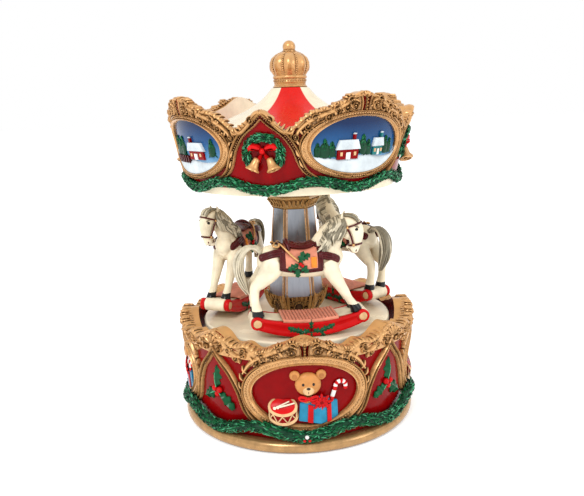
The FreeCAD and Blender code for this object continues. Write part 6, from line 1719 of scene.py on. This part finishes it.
def riders():
    """Three horses with their tack and rockers, set round the platform."""
    skin, tack, rocker = horse_mesh(), tack_mesh(), rocker_mesh()
    for index in range(HORSES):
        number = index + 1
        turn = Matrix.Rotation(math.radians(HORSE_TURN + 360.0 * index / HORSES), 4, "Z")
        matrix = turn @ Matrix.Translation((0.0, -HORSE_RING_RADIUS * MM, PLATFORM_TOP * MM))
        place(skin, "horse_figure_%d" % number, "carousel", ("horse_%d" % number,), matrix)
        place(horse_hair(index), "horse_mane_tail_%d" % number, "carousel", (), matrix)
        place(tack, "horse_tack_%d" % number, "carousel", ("saddle_%d" % number,), matrix)
        place(rocker, "rocker_painted_%d" % number, "carousel", ("rocker_%d" % number,),
              matrix)


# Paint on the CAD pieces that stay

CAD_PAINTS = {
    "gold": ("base_oval_frames", "base_crest", "canopy_oval_frames", "canopy_crest"),
    "bronze": ("base_plinth",),
    "cream": ("platform", "canopy_ceiling"),
    "base_wall": ("base_shell",),
    "canopy_wall": ("canopy_shell",),
    "roof": ("roof",),
    "sky": ("scene_panels",),
    "dark_resin": ("column_core", "cover_ledge"),
    "black_plastic": ("bottom_cover", "governor_fly"),
    "steel": ("cover_screws", "bedplate_screws", "comb", "comb_screws", "click_spring", "mainspring",
              "winding_arbor", "ratchet_wheel", "winding_key", "cylinder_arbor", "centre_rod",
              "governor_worm", "governor_frame", "cylinder_bracket"),
    "cast_metal": ("bedplate",),
    "brass": ("deck_bush", "spring_barrel", "barrel_cap", "music_cylinder", "cylinder_gear",
              "governor_wheel"),
}


def paint_cad():
    """Paints the CAD pieces that are shown as they are."""
    for paint, nodes in CAD_PAINTS.items():
        for name in nodes:
            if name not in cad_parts:
                continue
            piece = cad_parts[name]
            if not piece.material_slots:
                piece.data.materials.append(MATERIALS[paint])
            for slot in piece.material_slots:
                slot.material = MATERIALS[paint]


# Camera, floor and light

CAMERA_DISTANCE = 382.46
CAMERA_HEIGHT = 175.95
CAMERA_SIDE = -1.6
CAMERA_TURN = -2.7
CAMERA_PITCH = 12.05
CAMERA_ROLL = -1.7
FOCAL_PIXELS = 675.94
IMAGE_WIDTH = 584
SENSOR = 36.0
FLOOR_REACH = 6.0
LAMP_AIM = Vector((0.0, 0.0, 0.1))
KEY_LAMP = (-0.35, -0.75, 0.75)
FILL_LAMP = (0.75, -0.5, 0.45)


def add_camera():
    """A camera set as the photo was taken."""
    data = bpy.data.cameras.new("camera")
    data.sensor_fit = "HORIZONTAL"
    data.sensor_width = SENSOR
    data.lens = FOCAL_PIXELS / IMAGE_WIDTH * SENSOR
    data.clip_start = 0.01
    camera = bpy.data.objects.new("camera", data)
    bpy.context.scene.collection.objects.link(camera)
    spin = Matrix.Rotation(math.radians(CAMERA_TURN), 4, "Z")
    spot = Matrix.Translation((CAMERA_SIDE * MM, -CAMERA_DISTANCE * MM, CAMERA_HEIGHT * MM))
    aim = Matrix.Rotation(math.radians(90.0 - CAMERA_PITCH), 4, "X")
    roll = Matrix.Rotation(math.radians(CAMERA_ROLL), 4, "Z")
    camera.matrix_world = spin @ spot @ aim @ roll
    bpy.context.scene.camera = camera


def add_light(name, place_at, size, power):
    """A round lamp turned to the object."""
    data = bpy.data.lights.new(name, "AREA")
    data.shape = "DISK"
    data.size = size
    data.energy = power
    light = bpy.data.objects.new(name, data)
    bpy.context.scene.collection.objects.link(light)
    light.location = place_at
    aim = LAMP_AIM - Vector(place_at)
    light.rotation_euler = aim.to_track_quat("-Z", "Y").to_euler()


def add_stage():
    """A pale floor, a white surround and soft lamps above and in front."""
    mesh = bpy.data.meshes.new("floor")
    corners = ((-1, -1), (1, -1), (1, 1), (-1, 1))
    mesh.from_pydata([(x * FLOOR_REACH, y * FLOOR_REACH, 0) for x, y in corners], [], [(0, 1, 2, 3)])
    floor = bpy.data.objects.new("floor", mesh)
    bpy.context.scene.collection.objects.link(floor)
    paint = Paint("pale_floor")
    tint = paint.ramp(paint.noise(30.0), (0.3, (0.93, 0.93, 0.93)), (0.7, (0.95, 0.95, 0.95)))
    material = paint.surface(Base_Color=tint, Roughness=0.9, Specular_IOR_Level=0.0,
                             Emission_Color=(1.0, 1.0, 1.0, 1.0), Emission_Strength=0.35)
    mesh.materials.append(material)
    world = bpy.data.worlds.new("surround")
    world.use_nodes = True
    background = world.node_tree.nodes["Background"]
    background.inputs["Color"].default_value = (1.0, 1.0, 1.0, 1.0)
    background.inputs["Strength"].default_value = 1.0
    bpy.context.scene.world = world
    add_light("key_lamp", KEY_LAMP, 0.3, 4.0)
    add_light("fill_lamp", FILL_LAMP, 0.4, 1.5)
    bpy.context.scene.view_settings.view_transform = "Standard"


add_camera()
add_stage()
paint_cad()
base_carving()
canopy_carving()
pointed_panels("base_pointed_panels", BASE_WALL, BASE_POINT, "base", "base_point_frames")
pointed_panels("canopy_pointed_panels", CANOPY_WALL, CANOPY_POINT, "carousel", "canopy_point_frames")
make_garland("base_fir_garland", BASE_WALL, "base", "base_garland", height=12.1, swing=2.3, radius=3.6,
             standoff=4.0, gems=True, seed=1)
make_garland("canopy_fir_garland", GARLAND_WALL, "carousel", "canopy_garland", height=137.1, swing=2.1,
             radius=3.0, standoff=1.4, gems=False, seed=2)
holly_sprigs()
panel_toys()
winter_scenes()
bells_and_bows()
column_trim()
column_collar()
crown()
riders()
